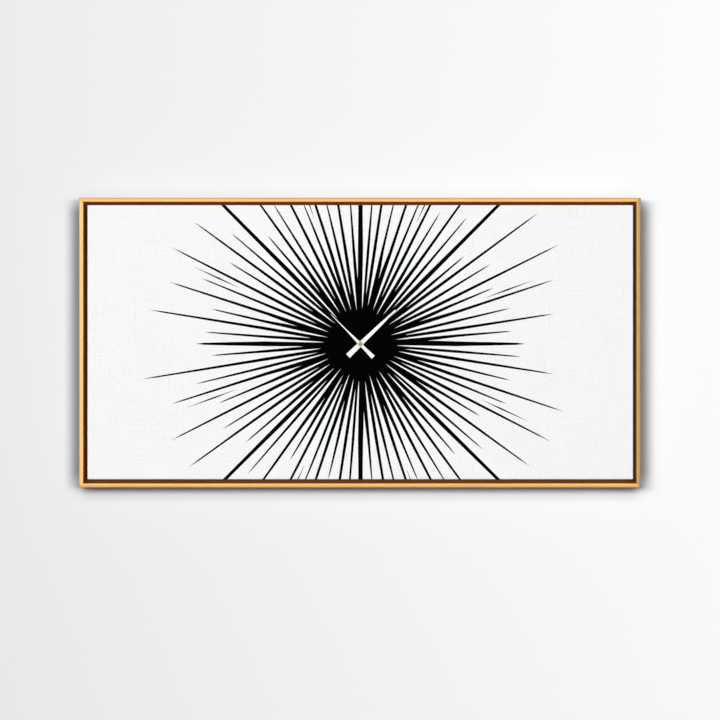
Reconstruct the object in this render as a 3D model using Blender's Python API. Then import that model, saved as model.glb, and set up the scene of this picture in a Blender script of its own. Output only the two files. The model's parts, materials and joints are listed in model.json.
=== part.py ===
"""Sunburst wall clock: a printed canvas in a floater frame, with a quartz movement behind it.

Metres, +Z up. The wall is the plane y = 0 and the clock faces -Y, so a depth d in front of
the wall is y = -d. The origin is on the wall plane, straight behind the axis of the hands.
"""

import math

import bmesh
import bpy
from mathutils import Vector
from mathutils.geometry import delaunay_2d_cdt

for old in list(bpy.data.objects):
    bpy.data.objects.remove(old, do_unlink=True)

MM = 0.001

# ---------------------------------------------------------------- driving dimensions
FIT = 0.3 * MM  # gap kept between pieces that touch

CANVAS_W = 1013 * MM
CANVAS_H = 509 * MM
FLOAT_GAP = 6.7 * MM  # dark gap between the canvas edge and the frame
FACE_W = 7.5 * MM  # width of the frame's front face
FRAME_W = CANVAS_W + 2 * (FLOAT_GAP + FACE_W)
FRAME_H = CANVAS_H + 2 * (FLOAT_GAP + FACE_W)
FRAME_CENTRE = (-0.7 * MM, 2.8 * MM)  # x, z of the frame's centre from the hand axis
CANVAS_CENTRE = (0.0 * MM, 3.5 * MM)

# depths in front of the wall
D_FRAME_BACK = 5.0 * MM
D_FRAME_FRONT = 49.5 * MM
D_LEDGE = 12.0 * MM
LEDGE_REACH = 27.5 * MM  # from the frame's outer edge
D_CANVAS_BACK = D_LEDGE + FIT
D_CANVAS_FRONT = 44.5 * MM
CLOTH = 0.8 * MM
RETURN_W = 25 * MM  # canvas folded over the back of the bars
BAR_W = 38 * MM
D_BAR_BACK = D_CANVAS_BACK + CLOTH + FIT
D_BAR_FRONT = D_CANVAS_FRONT - CLOTH - FIT
BAR_BEVEL = 3.4 * MM
BRACE_X = 85 * MM
BRACE_W = 38 * MM
D_BRACE = (19.8 * MM, 39.8 * MM)
BOARD = (200 * MM, 160 * MM)
D_BOARD = (40.1 * MM, 43.1 * MM)

# movement, depths counted back from the outer face of its front plate
D_PLATE = 38.5 * MM
CASE = 56 * MM
CASE_T = 16 * MM
CASE_WALL = 1.3 * MM

# plan positions in the movement, x and z from the hand axis
AT_MOTION = (-9.0 * MM, 0.0)
AT_SET = (-17.863 * MM, -1.563 * MM)
AT_THIRD = (10.15 * MM, 3.69 * MM)
AT_INTER = (-8.73 * MM, 5.04 * MM)
AT_ROTOR = (-12.57 * MM, 11.691 * MM)

# wheel teeth and modules (mm)
Z_CANNON, Z_MOTION, M_CANNON = 12, 36, 0.375
Z_MPINION, Z_HOUR, M_HOUR = 10, 40, 0.36
Z_SET = 12
Z_CENTRE, Z_TPINION, M_CENTRE = 64, 8, 0.3
Z_THIRD, Z_SPINION, M_THIRD = 60, 8, 0.3176
Z_SECOND, Z_IPINION, M_SECOND = 48, 8, 0.36
Z_INTER, Z_RPINION, M_INTER = 40, 8, 0.32

# hands: width at each distance from the axis along the blade, tail first, and direction clockwise from the top
MINUTE = dict(widths=[(-31.6, 10.7), (0, 8.7), (41, 7.0), (90.9, 2.9)], angle=46.0)
HOUR = dict(widths=[(-34.3, 9.0), (-10, 6.3), (0, 7.2), (10, 5.9), (35, 3.2), (77.0, 1.9)], angle=315.4)
D_HOUR_HAND = 49.7 * MM
D_MINUTE_HAND = 51.1 * MM
HAND_T = 0.6 * MM

# hanging hardware
RING_X = FRAME_W / 2 - 13.75 * MM
RING_Z = 165 * MM
D_RING = 2.7 * MM
SCREW_X = 330 * MM
SCREW_INSET = 22 * MM
SIDE_SCREW_Z = -50 * MM


# ---------------------------------------------------------------- materials
def linear(c):
    return c / 12.92 if c <= 0.04045 else ((c + 0.055) / 1.055) ** 2.4


def material(name, rgb, rough=0.5, metal=0.0):
    mat = bpy.data.materials.new(name)
    mat.use_nodes = True
    bsdf = mat.node_tree.nodes["Principled BSDF"]
    colour = [linear(v / 255) for v in rgb] + [1.0]
    bsdf.inputs["Base Color"].default_value = colour
    bsdf.inputs["Roughness"].default_value = rough
    bsdf.inputs["Metallic"].default_value = metal
    mat.diffuse_color = colour
    return mat


GOLD = material("gold_frame", (240, 190, 126), 0.4, 0.35)
PINE = material("pine", (214, 184, 138), 0.7)
HARDBOARD = material("hardboard", (118, 82, 54), 0.75)
CANVAS = material("canvas_print", (245, 245, 244), 0.85)
STEEL = material("zinc_steel", (188, 190, 192), 0.35, 1.0)
SPRING = material("contact_steel", (205, 205, 200), 0.3, 1.0)
BRASS = material("brass", (205, 170, 92), 0.3, 1.0)
GILT = material("cap_nut_gold", (220, 190, 70), 0.25, 1.0)
BLACK_NUT = material("black_metal", (22, 22, 22), 0.4, 0.6)
WHITE_HAND = material("white_hand", (247, 247, 246), 0.45)
RUBBER = material("black_rubber", (26, 26, 26), 0.8)
CLEAR_RUBBER = material("bumper_rubber", (60, 58, 56), 0.7)
CASE_BLACK = material("case_plastic", (20, 20, 21), 0.45)
GEAR_WHITE = material("gear_acetal", (236, 234, 226), 0.4)
GEAR_BROWN = material("gear_plate_plastic", (70, 60, 52), 0.5)
MAGNET = material("magnet", (70, 70, 74), 0.4, 0.4)
LAMINATION = material("lamination", (150, 150, 152), 0.35, 1.0)
BOBBIN = material("bobbin_plastic", (60, 90, 70), 0.5)
COPPER = material("enamelled_copper", (172, 88, 44), 0.35, 0.9)
CIRCUIT = material("circuit_board", (36, 92, 52), 0.5)
CAN = material("crystal_can", (198, 198, 198), 0.25, 1.0)
CELL = material("battery_sleeve", (46, 62, 92), 0.35)
KNOB = material("knob_plastic", (24, 24, 25), 0.5)


# ---------------------------------------------------------------- shape helpers
def circle(r, n, centre=(0.0, 0.0), phase=0.0):
    return [
        (
            centre[0] + r * math.cos(phase + 2 * math.pi * i / n),
            centre[1] + r * math.sin(phase + 2 * math.pi * i / n),
        )
        for i in range(n)
    ]


def rect(x0, x1, z0, z1):
    return [(x0, z0), (x1, z0), (x1, z1), (x0, z1)]


def round_rect(x0, x1, z0, z1, r, n=3):
    out = []
    for cx, cz, start in (
        (x1 - r, z0 + r, -90),
        (x1 - r, z1 - r, 0),
        (x0 + r, z1 - r, 90),
        (x0 + r, z0 + r, 180),
    ):
        for i in range(n + 1):
            a = math.radians(start + 90 * i / n)
            out.append((cx + r * math.cos(a), cz + r * math.sin(a)))
    return out


def gear(z, module, toward, gap=False):
    """Outline of a wheel of z pointed teeth. One tooth, or one gap, faces the direction toward (radians)."""
    pitch = 2 * math.pi / z
    tip = (z / 2 + 0.9) * module * MM
    root = (z / 2 - 1.25) * module * MM
    start = toward + (pitch / 2 if gap else 0.0)
    out = []
    for i in range(z):
        a = start + i * pitch
        for turn, r in ((-0.32, root), (0.0, tip), (0.32, root)):
            out.append((r * math.cos(a + turn * pitch), r * math.sin(a + turn * pitch)))
    return out


def inside(point, loop):
    x, z = point
    odd = False
    for i in range(len(loop)):
        (x1, z1), (x2, z2) = loop[i - 1], loop[i]
        if (z1 > z) != (z2 > z) and x < (x2 - x1) * (z - z1) / (z2 - z1) + x1:
            odd = not odd
    return odd


def region(loops):
    """Triangles, as index triples into the loops' points laid end to end, of the area an odd number of loops encloses."""
    points, edges = [], []
    for loop in loops:
        first = len(points)
        points += [Vector((p[0] * 1000, p[1] * 1000)) for p in loop]
        edges += [(first + i, first + (i + 1) % len(loop)) for i in range(len(loop))]
    verts, _, faces, origin, _, _ = delaunay_2d_cdt(points, edges, [], 0, 1e-6)
    out = []
    for face in faces:
        centre = sum((verts[i] for i in face), Vector((0, 0))) / len(face)
        at = (centre.x / 1000, centre.y / 1000)
        if sum(inside(at, loop) for loop in loops) % 2:
            out.append([origin[i][0] for i in face])
    return out


def finish(name, mesh_bm, mat, at=(0, 0, 0), smooth=None, parent=None):
    bmesh.ops.remove_doubles(mesh_bm, verts=mesh_bm.verts, dist=1e-8)
    bmesh.ops.recalc_face_normals(mesh_bm, faces=mesh_bm.faces)
    mesh = bpy.data.meshes.new(name)
    mesh_bm.to_mesh(mesh)
    mesh_bm.free()
    if smooth:
        mesh.shade_smooth()
        mesh.set_sharp_from_angle(angle=math.radians(smooth))
    mesh.materials.append(mat)
    obj = bpy.data.objects.new(name, mesh)
    bpy.context.scene.collection.objects.link(obj)
    obj.location = at
    if parent:
        obj.parent = parent
        obj.location = Vector(at) - parent.location
    return obj


def stack(name, sections, mat, along="D", at=(0.0, 0.0, 0.0), smooth=30, parent=None):
    """A solid made of slabs. Each section is (start, end, loops): the area that its loops enclose, between two
    places along the axis. A loop object used in neighbouring sections runs straight through them.
    along D counts depth in front of the wall, X counts along X, Z up."""

    def place(u, v, w):
        if along == "D":
            return Vector((u, -w, v))
        if along == "X":
            return Vector((w, u, v))
        return Vector((u, v, w))

    bm = bmesh.new()
    made = {}

    def ring(loop, w):
        key = (id(loop), round(w * 1e9))
        if key not in made:
            made[key] = [bm.verts.new(place(p[0], p[1], w)) for p in loop]
        return made[key]

    def face(loops, w):
        verts = [v for loop in loops for v in ring(loop, w)]
        for tri in region(loops):
            bm.faces.new([verts[i] for i in tri])

    def unshared(one, two):
        return [p for p in one if all(p is not q for q in two)] + [
            q for q in two if all(q is not p for p in one)
        ]

    face(sections[0][2], sections[0][0])
    face(sections[-1][2], sections[-1][1])
    for (_, end, before), (start, _, after) in zip(sections, sections[1:]):
        assert abs(end - start) < 1e-9, name
        loops = unshared(before, after)
        if loops:
            face(loops, end)
    runs = []
    for start, end, loops in sections:
        for loop in loops:
            for run in runs:
                if run[2] is loop and abs(run[1] - start) < 1e-9:
                    run[1] = end
                    break
            else:
                runs.append([start, end, loop])
    for start, end, loop in runs:
        low, high = ring(loop, start), ring(loop, end)
        for i in range(len(loop)):
            j = (i + 1) % len(loop)
            bm.faces.new([low[i], low[j], high[j], high[i]])
    return finish(name, bm, mat, at, smooth, parent)


def mitred(name, side, width, height, centre, profile, mat):
    """One bar of a mitred rectangle. profile is (inset from the outer edge, depth in front of the wall)."""
    bm = bmesh.new()
    open_by = 0.2 * MM  # half the open mitre, along the bar
    rings = []
    for end in (-1, 1):
        verts = []
        for inset, depth in profile:
            if side in ("top", "bottom"):
                x = end * (width / 2 - inset - open_by)
                z = (height / 2 - inset) * (1 if side == "top" else -1)
            else:
                z = end * (height / 2 - inset - open_by)
                x = (width / 2 - inset) * (1 if side == "right" else -1)
            verts.append(bm.verts.new((centre[0] + x, -depth, centre[1] + z)))
        rings.append(verts)
    for i in range(len(profile)):
        j = (i + 1) % len(profile)
        bm.faces.new([rings[0][i], rings[0][j], rings[1][j], rings[1][i]])
    bm.faces.new(rings[0])
    bm.faces.new(rings[1])
    bmesh.ops.triangulate(bm, faces=[f for f in bm.faces if len(f.verts) > 4])
    return finish(name, bm, mat)


def cutter(name, shape):
    shape.name = name
    shape.hide_render = True
    shape.display_type = "WIRE"
    return shape


def cut(target, tool):
    mod = target.modifiers.new(tool.name, "BOOLEAN")
    mod.operation = "DIFFERENCE"
    mod.solver = "EXACT"
    mod.object = tool


def ground(at):
    return (at[0], 0.0, at[1])


# ---------------------------------------------------------------- frame
frame_profile = [
    (0, D_FRAME_BACK),
    (LEDGE_REACH, D_FRAME_BACK),
    (LEDGE_REACH, D_LEDGE),
    (FACE_W, D_LEDGE),
    (FACE_W, D_FRAME_FRONT),
    (0, D_FRAME_FRONT),
]
SIDES = ("top", "bottom", "left", "right")
rails = {
    side: mitred(f"frame_{side}_rail", side, FRAME_W, FRAME_H, FRAME_CENTRE, frame_profile, GOLD)
    for side in SIDES
}

# V-nails: a folded strip driven into each mitre from the back
NAIL_AT = 10 * MM  # apex, from both outer edges
NAIL_LEG = 8 * MM
NAIL_T = 0.8 * MM


def angle_strip(corner, sx, sz, grow):
    """L outline with its apex on the mitre and one leg in each rail."""
    a, t, leg = NAIL_AT - grow, NAIL_T + 2 * grow, NAIL_LEG + grow
    local = [(a, a), (a + leg, a), (a + leg, a + t), (a + t, a + t), (a + t, a + leg), (a, a + leg)]
    return [(corner[0] + sx * u, corner[1] + sz * v) for u, v in local]


for tall, sz in (("top", -1), ("bottom", 1)):
    for wide, sx in (("left", 1), ("right", -1)):
        corner = (
            FRAME_CENTRE[0] - sx * FRAME_W / 2,
            FRAME_CENTRE[1] - sz * FRAME_H / 2,
        )
        stack(
            f"v_nail_{tall}_{wide}",
            [(5.2 * MM, 10.2 * MM, [angle_strip(corner, sx, sz, 0.0)])],
            STEEL,
        )
        pocket = cutter(
            f"cutter_nail_{tall}_{wide}",
            stack("c", [(4.0 * MM, 10.5 * MM, [angle_strip(corner, sx, sz, FIT)])], STEEL),
        )
        cut(rails[tall], pocket)
        cut(rails[wide], pocket)

# ---------------------------------------------------------------- canvas on its stretcher
cx, cz = CANVAS_CENTRE
bar_profile = [
    (0, D_BAR_BACK),
    (BAR_W, D_BAR_BACK),
    (BAR_W, D_BAR_FRONT - BAR_BEVEL),
    (4 * MM, D_BAR_FRONT),
    (0, D_BAR_FRONT),
]
skin = CLOTH + FIT
bars = {
    side: mitred(
        f"stretcher_{side}",
        side,
        CANVAS_W - 2 * skin,
        CANVAS_H - 2 * skin,
        CANVAS_CENTRE,
        bar_profile,
        PINE,
    )
    for side in SIDES
}


def around(inset):
    return rect(
        cx - CANVAS_W / 2 + inset,
        cx + CANVAS_W / 2 - inset,
        cz - CANVAS_H / 2 + inset,
        cz + CANVAS_H / 2 - inset,
    )


outer = around(0)
canvas = stack(
    "canvas",
    [
        (D_CANVAS_BACK, D_CANVAS_BACK + CLOTH, [outer, around(CLOTH + RETURN_W)]),
        (D_CANVAS_BACK + CLOTH, D_CANVAS_FRONT - CLOTH, [outer, around(CLOTH)]),
        (D_CANVAS_FRONT - CLOTH, D_CANVAS_FRONT, [outer, circle(4.3 * MM, 24)]),
    ],
    CANVAS,
)

inner_half = CANVAS_H / 2 - skin - BAR_W - FIT
for name, sx in (("brace_left", -1), ("brace_right", 1)):
    stack(
        name,
        [(*D_BRACE, [rect(sx * BRACE_X - BRACE_W / 2, sx * BRACE_X + BRACE_W / 2, cz - inner_half, cz + inner_half)])],
        PINE,
    )
stack(
    "movement_board",
    [(*D_BOARD, [round_rect(-BOARD[0] / 2, BOARD[0] / 2, -BOARD[1] / 2, BOARD[1] / 2, 3 * MM, 2), circle(4.3 * MM, 24)])],
    HARDBOARD,
)

# screws through the frame's back flange into the bars
left_edge = FRAME_CENTRE[0] - FRAME_W / 2
right_edge = FRAME_CENTRE[0] + FRAME_W / 2
low_edge = FRAME_CENTRE[1] - FRAME_H / 2
high_edge = FRAME_CENTRE[1] + FRAME_H / 2
places = {
    "top_left": ("top", (-SCREW_X, high_edge - SCREW_INSET)),
    "top_right": ("top", (SCREW_X, high_edge - SCREW_INSET)),
    "bottom_left": ("bottom", (-SCREW_X, low_edge + SCREW_INSET)),
    "bottom_right": ("bottom", (SCREW_X, low_edge + SCREW_INSET)),
    "left": ("left", (left_edge + SCREW_INSET, SIDE_SCREW_Z)),
    "right": ("right", (right_edge - SCREW_INSET, SIDE_SCREW_Z)),
}
for name, (side, spot) in places.items():
    shank = circle(1.6 * MM, 10)
    stack(
        f"frame_screw_{name}",
        [
            (2.6 * MM, 3.6 * MM, [circle(2.9 * MM, 14)]),
            (3.6 * MM, 4.7 * MM, [circle(3.6 * MM, 14)]),
            (4.7 * MM, 27 * MM, [shank]),
            (27 * MM, 30 * MM, [circle(0.8 * MM, 10)]),
        ],
        STEEL,
        at=(spot[0], 0, spot[1]),
    )
    hole = cutter(
        f"cutter_screw_{name}",
        stack("c", [(4.0 * MM, 30.3 * MM, [circle(1.9 * MM, 12, spot)])], STEEL),
    )
    for target in (rails[side], bars[side], canvas):
        cut(target, hole)

# ---------------------------------------------------------------- hanging hardware
EYE = 2.0 * MM
BAR_R = 0.9 * MM
STRAP_FACE = (3.9 * MM, 4.7 * MM)
STRAP_L = 24 * MM
STRAP_HALF = 5 * MM


def strap_outline():
    """Side view of the doubled strap and its eye, as (y, z) from the ring's axis, strap hanging down."""
    y0, y1 = -STRAP_FACE[1] + D_RING, -STRAP_FACE[0] + D_RING
    a0 = math.pi + math.asin(0.0)
    end = math.atan2(-math.sqrt(EYE**2 - y1**2), y1)
    out = [(y0, -STRAP_L), (y1, -STRAP_L), (y1, -math.sqrt(EYE**2 - y1**2))]
    steps = 12
    for i in range(1, steps + 1):
        a = end + (a0 - end) * i / steps
        out.append((EYE * math.cos(a), EYE * math.sin(a)))
    return out


def d_ring(name, at, parent):
    """Closed wire ring: a straight bar on the pivot and a bow below it."""
    half, reach, corner = 7.4 * MM, 14.6 * MM, 2.0 * MM
    path = [(-half + corner, 0.0), (half - corner, 0.0)]
    for i in range(1, 4):
        a = math.radians(90 - 30 * i)
        path.append((half - corner + corner * math.cos(a), -corner + corner * math.sin(a)))
    drop = reach - half
    for i in range(0, 13):
        a = math.pi * i / 12
        path.append((half * math.cos(a), -drop - half * math.sin(a)))
    for i in range(0, 3):
        a = math.radians(180 - 30 * i)
        path.append((-half + corner + corner * math.cos(a), -corner + corner * math.sin(a)))
    bm = bmesh.new()
    rings = []
    n = len(path)
    for i, (x, z) in enumerate(path):
        px, pz = path[i - 1]
        nx, nz = path[(i + 1) % n]
        along = (Vector((x - px, 0, z - pz)).normalized() + Vector((nx - x, 0, nz - z)).normalized()).normalized()
        across = Vector((along.z, 0, -along.x))
        rings.append(
            [
                bm.verts.new(
                    Vector((x, 0, z))
                    + BAR_R * math.cos(2 * math.pi * k / 8) * across
                    + BAR_R * math.sin(2 * math.pi * k / 8) * Vector((0, 1, 0))
                )
                for k in range(8)
            ]
        )
    for i in range(n):
        a, b = rings[i], rings[(i + 1) % n]
        for k in range(8):
            bm.faces.new([a[k], a[(k + 1) % 8], b[(k + 1) % 8], b[k]])
    return finish(name, bm, STEEL, at, 40, parent)


for name, sx in (("left", -1), ("right", 1)):
    pivot = (FRAME_CENTRE[0] + sx * RING_X, -D_RING, RING_Z)
    strap = stack(
        f"hanger_strap_{name}",
        [(-STRAP_HALF, STRAP_HALF, [strap_outline(), circle(1.2 * MM, 12)])],
        STEEL,
        along="X",
        at=pivot,
    )
    spot = (pivot[0], RING_Z - 8.5 * MM)
    stack(
        f"hanger_screw_{name}",
        [
            (1.6 * MM, 2.4 * MM, [circle(2.2 * MM, 14)]),
            (2.4 * MM, 3.6 * MM, [circle(3.0 * MM, 14)]),
            (3.6 * MM, 11.0 * MM, [circle(1.4 * MM, 10)]),
        ],
        STEEL,
        at=(spot[0], 0, spot[1]),
    )
    hole = cutter(
        f"cutter_hanger_{name}",
        stack("c", [(3.0 * MM, 11.4 * MM, [circle(1.7 * MM, 12, spot)])], STEEL),
    )
    cut(strap, hole)
    cut(rails[name], hole)
    axis = bpy.data.objects.new(f"hanger_{name}_axis", None)
    bpy.context.scene.collection.objects.link(axis)
    axis.location = pivot
    d_ring(f"d_ring_{name}", pivot, axis)
    stack(
        f"bumper_{name}",
        [
            (0.0, 1.2 * MM, [circle(5.6 * MM, 20)]),
            (1.2 * MM, D_FRAME_BACK - FIT, [circle(6.5 * MM, 20)]),
        ],
        CLEAR_RUBBER,
        at=(FRAME_CENTRE[0] + sx * (FRAME_W / 2 - 45 * MM), 0, low_edge + 13.75 * MM),
    )

# ---------------------------------------------------------------- movement: case, bush and fixings
movement = bpy.data.objects.new("movement_axis", None)
bpy.context.scene.collection.objects.link(movement)
movement.location = (0, 0, 0)


def s(a, b, loops):
    """A section given as distances back from the front plate's outer face."""
    return (D_PLATE - b * MM, D_PLATE - a * MM, loops)


half = CASE / 2
case_outline = round_rect(-half, half, -half, half, 2.5 * MM)
plate_outline = round_rect(-half, half, -half, half, 2.5 * MM)
bush_hole = circle(4.3 * MM, 24)
posts = [circle(1.5 * MM, 10, (x * MM, z * MM)) for x, z in ((-23, -8.2), (23, -8.2), (-23, 14.0), (23, 14.0))]
stud = circle(0.6 * MM, 10, AT_MOTION)
third_bore = circle(0.8 * MM, 10, AT_THIRD)
set_bore = circle(0.9 * MM, 10, AT_SET)
stack(
    "case_front_plate",
    [
        s(4.3, 5.4, posts),
        s(1.5, 4.3, posts + [stud]),
        s(0.7, 1.5, [plate_outline, bush_hole, third_bore, set_bore]),
        s(0.0, 0.7, [plate_outline, bush_hole]),
    ],
    CASE_BLACK,
    parent=movement,
)
inner = CASE / 2 - CASE_WALL
bay = round_rect(-inner, inner, -inner, -11.9 * MM, 0.8 * MM, 2)
gear_space = round_rect(-inner, inner, -10.7 * MM, inner, 1.2 * MM, 2)
shaft_hole = circle(1.6 * MM, 12, AT_SET)
sockets = [circle(0.8 * MM, 10, at) for at in ((0, 0), AT_THIRD, AT_INTER, AT_ROTOR)]
stack(
    "case_back",
    [
        s(15.3, 16.0, [case_outline, bay, shaft_hole]),
        s(14.5, 15.3, [case_outline, bay, shaft_hole] + sockets),
        s(1.8, 14.5, [case_outline, bay, gear_space]),
    ],
    CASE_BLACK,
    parent=movement,
)
bush_bore = circle(2.8 * MM, 24)
thread = circle(4.0 * MM, 24)
stack(
    "threaded_bush",
    [
        (37.2 * MM, 38.8 * MM, [thread, bush_bore]),
        (38.8 * MM, 39.4 * MM, [circle(6.5 * MM, 24), bush_bore]),
        (39.4 * MM, 48.6 * MM, [thread, bush_bore]),
    ],
    BRASS,
    parent=movement,
)
stack("rubber_washer", [(38.8 * MM, 39.8 * MM, [circle(14 * MM, 32), circle(6.8 * MM, 24)])], RUBBER, parent=movement)
stack("flat_washer", [(44.8 * MM, 45.4 * MM, [circle(7.5 * MM, 32), circle(4.3 * MM, 24)])], BLACK_NUT, parent=movement)
stack(
    "mounting_nut",
    [(45.7 * MM, 47.9 * MM, [circle(12 * MM / math.sqrt(3), 6), circle(4.3 * MM, 24)])],
    BLACK_NUT,
    parent=movement,
)
plate = round_rect(-24.6 * MM, 24.6 * MM, -10.2 * MM, 15.8 * MM, 1.0 * MM, 2)
stack(
    "gear_plate",
    [
        s(
            5.7,
            6.7,
            [
                plate,
                circle(0.9 * MM, 12),
                circle(0.8 * MM, 10, AT_THIRD),
                circle(0.8 * MM, 10, AT_INTER),
                circle(0.8 * MM, 10, AT_ROTOR),
                circle(1.6 * MM, 12, AT_SET),
            ],
        )
    ],
    GEAR_BROWN,
    parent=movement,
)


# ---------------------------------------------------------------- movement: wheels
def aim(a, b):
    return math.atan2(b[1] - a[1], b[0] - a[0])


AXIS = (0.0, 0.0)


def arbor(r, n=8):
    return circle(r * MM, n)


# minute arbor with the cannon pinion, and the shaft that carries the minute hand
stack(
    "minute_arbor",
    [
        (D_PLATE - 6.05 * MM, D_PLATE - 5.6 * MM, [arbor(0.6, 10)]),
        (D_PLATE - 5.6 * MM, D_PLATE - 4.2 * MM, [arbor(0.9, 12)]),
        (D_PLATE - 4.2 * MM, D_PLATE - 3.0 * MM, [gear(Z_CANNON, M_CANNON, aim(AXIS, AT_MOTION))]),
        (D_PLATE - 3.0 * MM, 50.8 * MM, [arbor(1.6, 16)]),
        (50.8 * MM, 54.0 * MM, [arbor(1.2, 16)]),
    ],
    BRASS,
    parent=movement,
)
stack(
    "centre_wheel",
    [s(4.5, 5.3, [gear(Z_CENTRE, M_CENTRE, aim(AXIS, AT_THIRD)), circle(1.2 * MM, 12)])],
    GEAR_WHITE,
    parent=movement,
)
pipe_bore = circle(1.9 * MM, 20)
stack(
    "hour_wheel",
    [
        s(1.8, 2.8, [gear(Z_HOUR, M_HOUR, aim(AXIS, AT_MOTION), gap=True), pipe_bore]),
        (D_PLATE - 1.8 * MM, 50.7 * MM, [circle(2.5 * MM, 20), pipe_bore]),
    ],
    BRASS,
    parent=movement,
)
stud_bore = circle(0.9 * MM, 10)
stack(
    "motion_wheel",
    [
        s(3.1, 4.1, [gear(Z_MOTION, M_CANNON, aim(AT_MOTION, AXIS), gap=True), stud_bore]),
        s(1.7, 3.1, [gear(Z_MPINION, M_HOUR, aim(AT_MOTION, AXIS)), stud_bore]),
    ],
    GEAR_WHITE,
    at=ground(AT_MOTION),
    parent=movement,
)
# the motion wheel's teeth stand so that 36 teeth serve both neighbours; the setting pinion is set to them
toward_set = aim(AT_MOTION, AT_SET)
first_gap = aim(AT_MOTION, AXIS) + math.pi / Z_MOTION
off = (toward_set - first_gap) / (2 * math.pi / Z_MOTION)
off -= math.floor(off)  # how far past a tooth of the motion wheel the line of centres lies, in pitches
set_phase = aim(AT_SET, AT_MOTION) + (2 * math.pi / Z_SET) * (0.5 + off)
stack(
    "setting_shaft",
    [
        s(14.0, 17.6, [arbor(1.0, 12)]),
        s(4.2, 14.0, [arbor(1.3, 12)]),
        s(3.0, 4.2, [gear(Z_SET, M_CANNON, set_phase)]),
        s(0.9, 3.0, [arbor(0.6)]),
    ],
    GEAR_WHITE,
    at=ground(AT_SET),
    parent=movement,
)
knurl = []
for i in range(20):
    for turn, r in ((0.0, 5.6), (0.3, 5.6), (0.5, 5.15), (0.8, 5.15)):
        a = 2 * math.pi * (i + turn) / 20
        knurl.append((r * MM * math.cos(a), r * MM * math.sin(a)))
stack(
    "setting_knob",
    [
        s(19.2, 19.6, [circle(4.6 * MM, 24)]),
        s(17.9, 19.2, [knurl]),
        s(16.3, 17.9, [knurl, circle(1.3 * MM, 12)]),
    ],
    KNOB,
    at=ground(AT_SET),
    parent=movement,
)
stack(
    "third_wheel",
    [
        s(7.8, 15.0, [arbor(0.5)]),
        s(7.0, 7.8, [gear(Z_THIRD, M_THIRD, aim(AT_THIRD, AXIS), gap=True)]),
        s(5.4, 7.0, [arbor(0.5)]),
        s(4.4, 5.4, [gear(Z_TPINION, M_CENTRE, aim(AT_THIRD, AXIS), gap=True)]),
        s(0.95, 4.4, [arbor(0.5)]),
    ],
    GEAR_WHITE,
    at=ground(AT_THIRD),
    parent=movement,
)
stack(
    "seconds_wheel",
    [
        s(10.3, 15.0, [arbor(0.5)]),
        s(9.5, 10.3, [gear(Z_SECOND, M_SECOND, aim(AXIS, AT_INTER), gap=True)]),
        s(7.9, 9.5, [arbor(0.6)]),
        s(6.9, 7.9, [gear(Z_SPINION, M_THIRD, aim(AXIS, AT_THIRD))]),
        s(6.35, 6.9, [arbor(0.5)]),
    ],
    GEAR_WHITE,
    parent=movement,
)
stack(
    "intermediate_wheel",
    [
        s(12.2, 15.0, [arbor(0.5)]),
        s(11.4, 12.2, [gear(Z_INTER, M_INTER, aim(AT_INTER, AT_ROTOR), gap=True)]),
        s(10.4, 11.4, [arbor(0.6)]),
        s(9.4, 10.4, [gear(Z_IPINION, M_SECOND, aim(AT_INTER, AXIS))]),
        s(6.0, 9.4, [arbor(0.5)]),
    ],
    GEAR_WHITE,
    at=ground(AT_INTER),
    parent=movement,
)
stack(
    "rotor",
    [
        s(12.3, 15.0, [arbor(0.5)]),
        s(11.3, 12.3, [gear(Z_RPINION, M_INTER, aim(AT_ROTOR, AT_INTER))]),
        s(10.3, 11.3, [arbor(0.6)]),
        s(7.3, 10.3, [circle(2.5 * MM, 20)]),
        s(6.0, 7.3, [arbor(0.5)]),
    ],
    MAGNET,
    at=ground(AT_ROTOR),
    parent=movement,
)

# ---------------------------------------------------------------- movement: motor, circuit and cell
rx, rz = AT_ROTOR[0] / MM, AT_ROTOR[1] / MM
stator_outline = [
    (x * MM, z * MM)
    for x, z in (
        (rx - 5.2, rz - 3.2),
        (rx - 3.2, rz - 5.2),
        (rx + 3.0, rz - 5.0),
        (rx + 5.2, rz - 3.0),
        (rx + 5.2, rz + 0.9),
        (19.0, rz + 0.9),
        (19.0, 22.2),
        (15.4, 22.2),
        (15.4, rz + 3.7),
        (rx + 2.2, rz + 3.7),
        (rx + 1.6, rz + 4.9),
        (rx + 1.6, 22.2),
        (rx - 2.2, 22.2),
        (rx - 2.2, rz + 5.2),
        (rx - 3.4, rz + 5.0),
        (rx - 5.2, rz + 3.2),
    )
]
stack("stator", [s(8.2, 9.2, [stator_outline, circle(3.1 * MM, 24, AT_ROTOR)])], LAMINATION, parent=movement)
CORE_Z = 20.4 * MM
stack(
    "coil_core",
    [s(9.5, 10.5, [rect(-14.6 * MM, 18.8 * MM, CORE_Z - 1.5 * MM, CORE_Z + 1.5 * MM)])],
    LAMINATION,
    parent=movement,
)
coil_y = -(D_PLATE - 10.0 * MM)
tube_bore = rect(-0.85 * MM, 0.85 * MM, -1.85 * MM, 1.85 * MM)
flange = round_rect(-3.9 * MM, 3.9 * MM, -4.6 * MM, 4.6 * MM, 1.0 * MM, 2)
tube = round_rect(-1.6 * MM, 1.6 * MM, -2.6 * MM, 2.6 * MM, 0.3 * MM, 1)
stack(
    "coil_bobbin",
    [
        (-10.2 * MM, -9.2 * MM, [flange, tube_bore]),
        (-9.2 * MM, 12.8 * MM, [tube, tube_bore]),
        (12.8 * MM, 13.8 * MM, [flange, tube_bore]),
    ],
    BOBBIN,
    along="X",
    at=(0, coil_y, CORE_Z),
    parent=movement,
)
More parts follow.
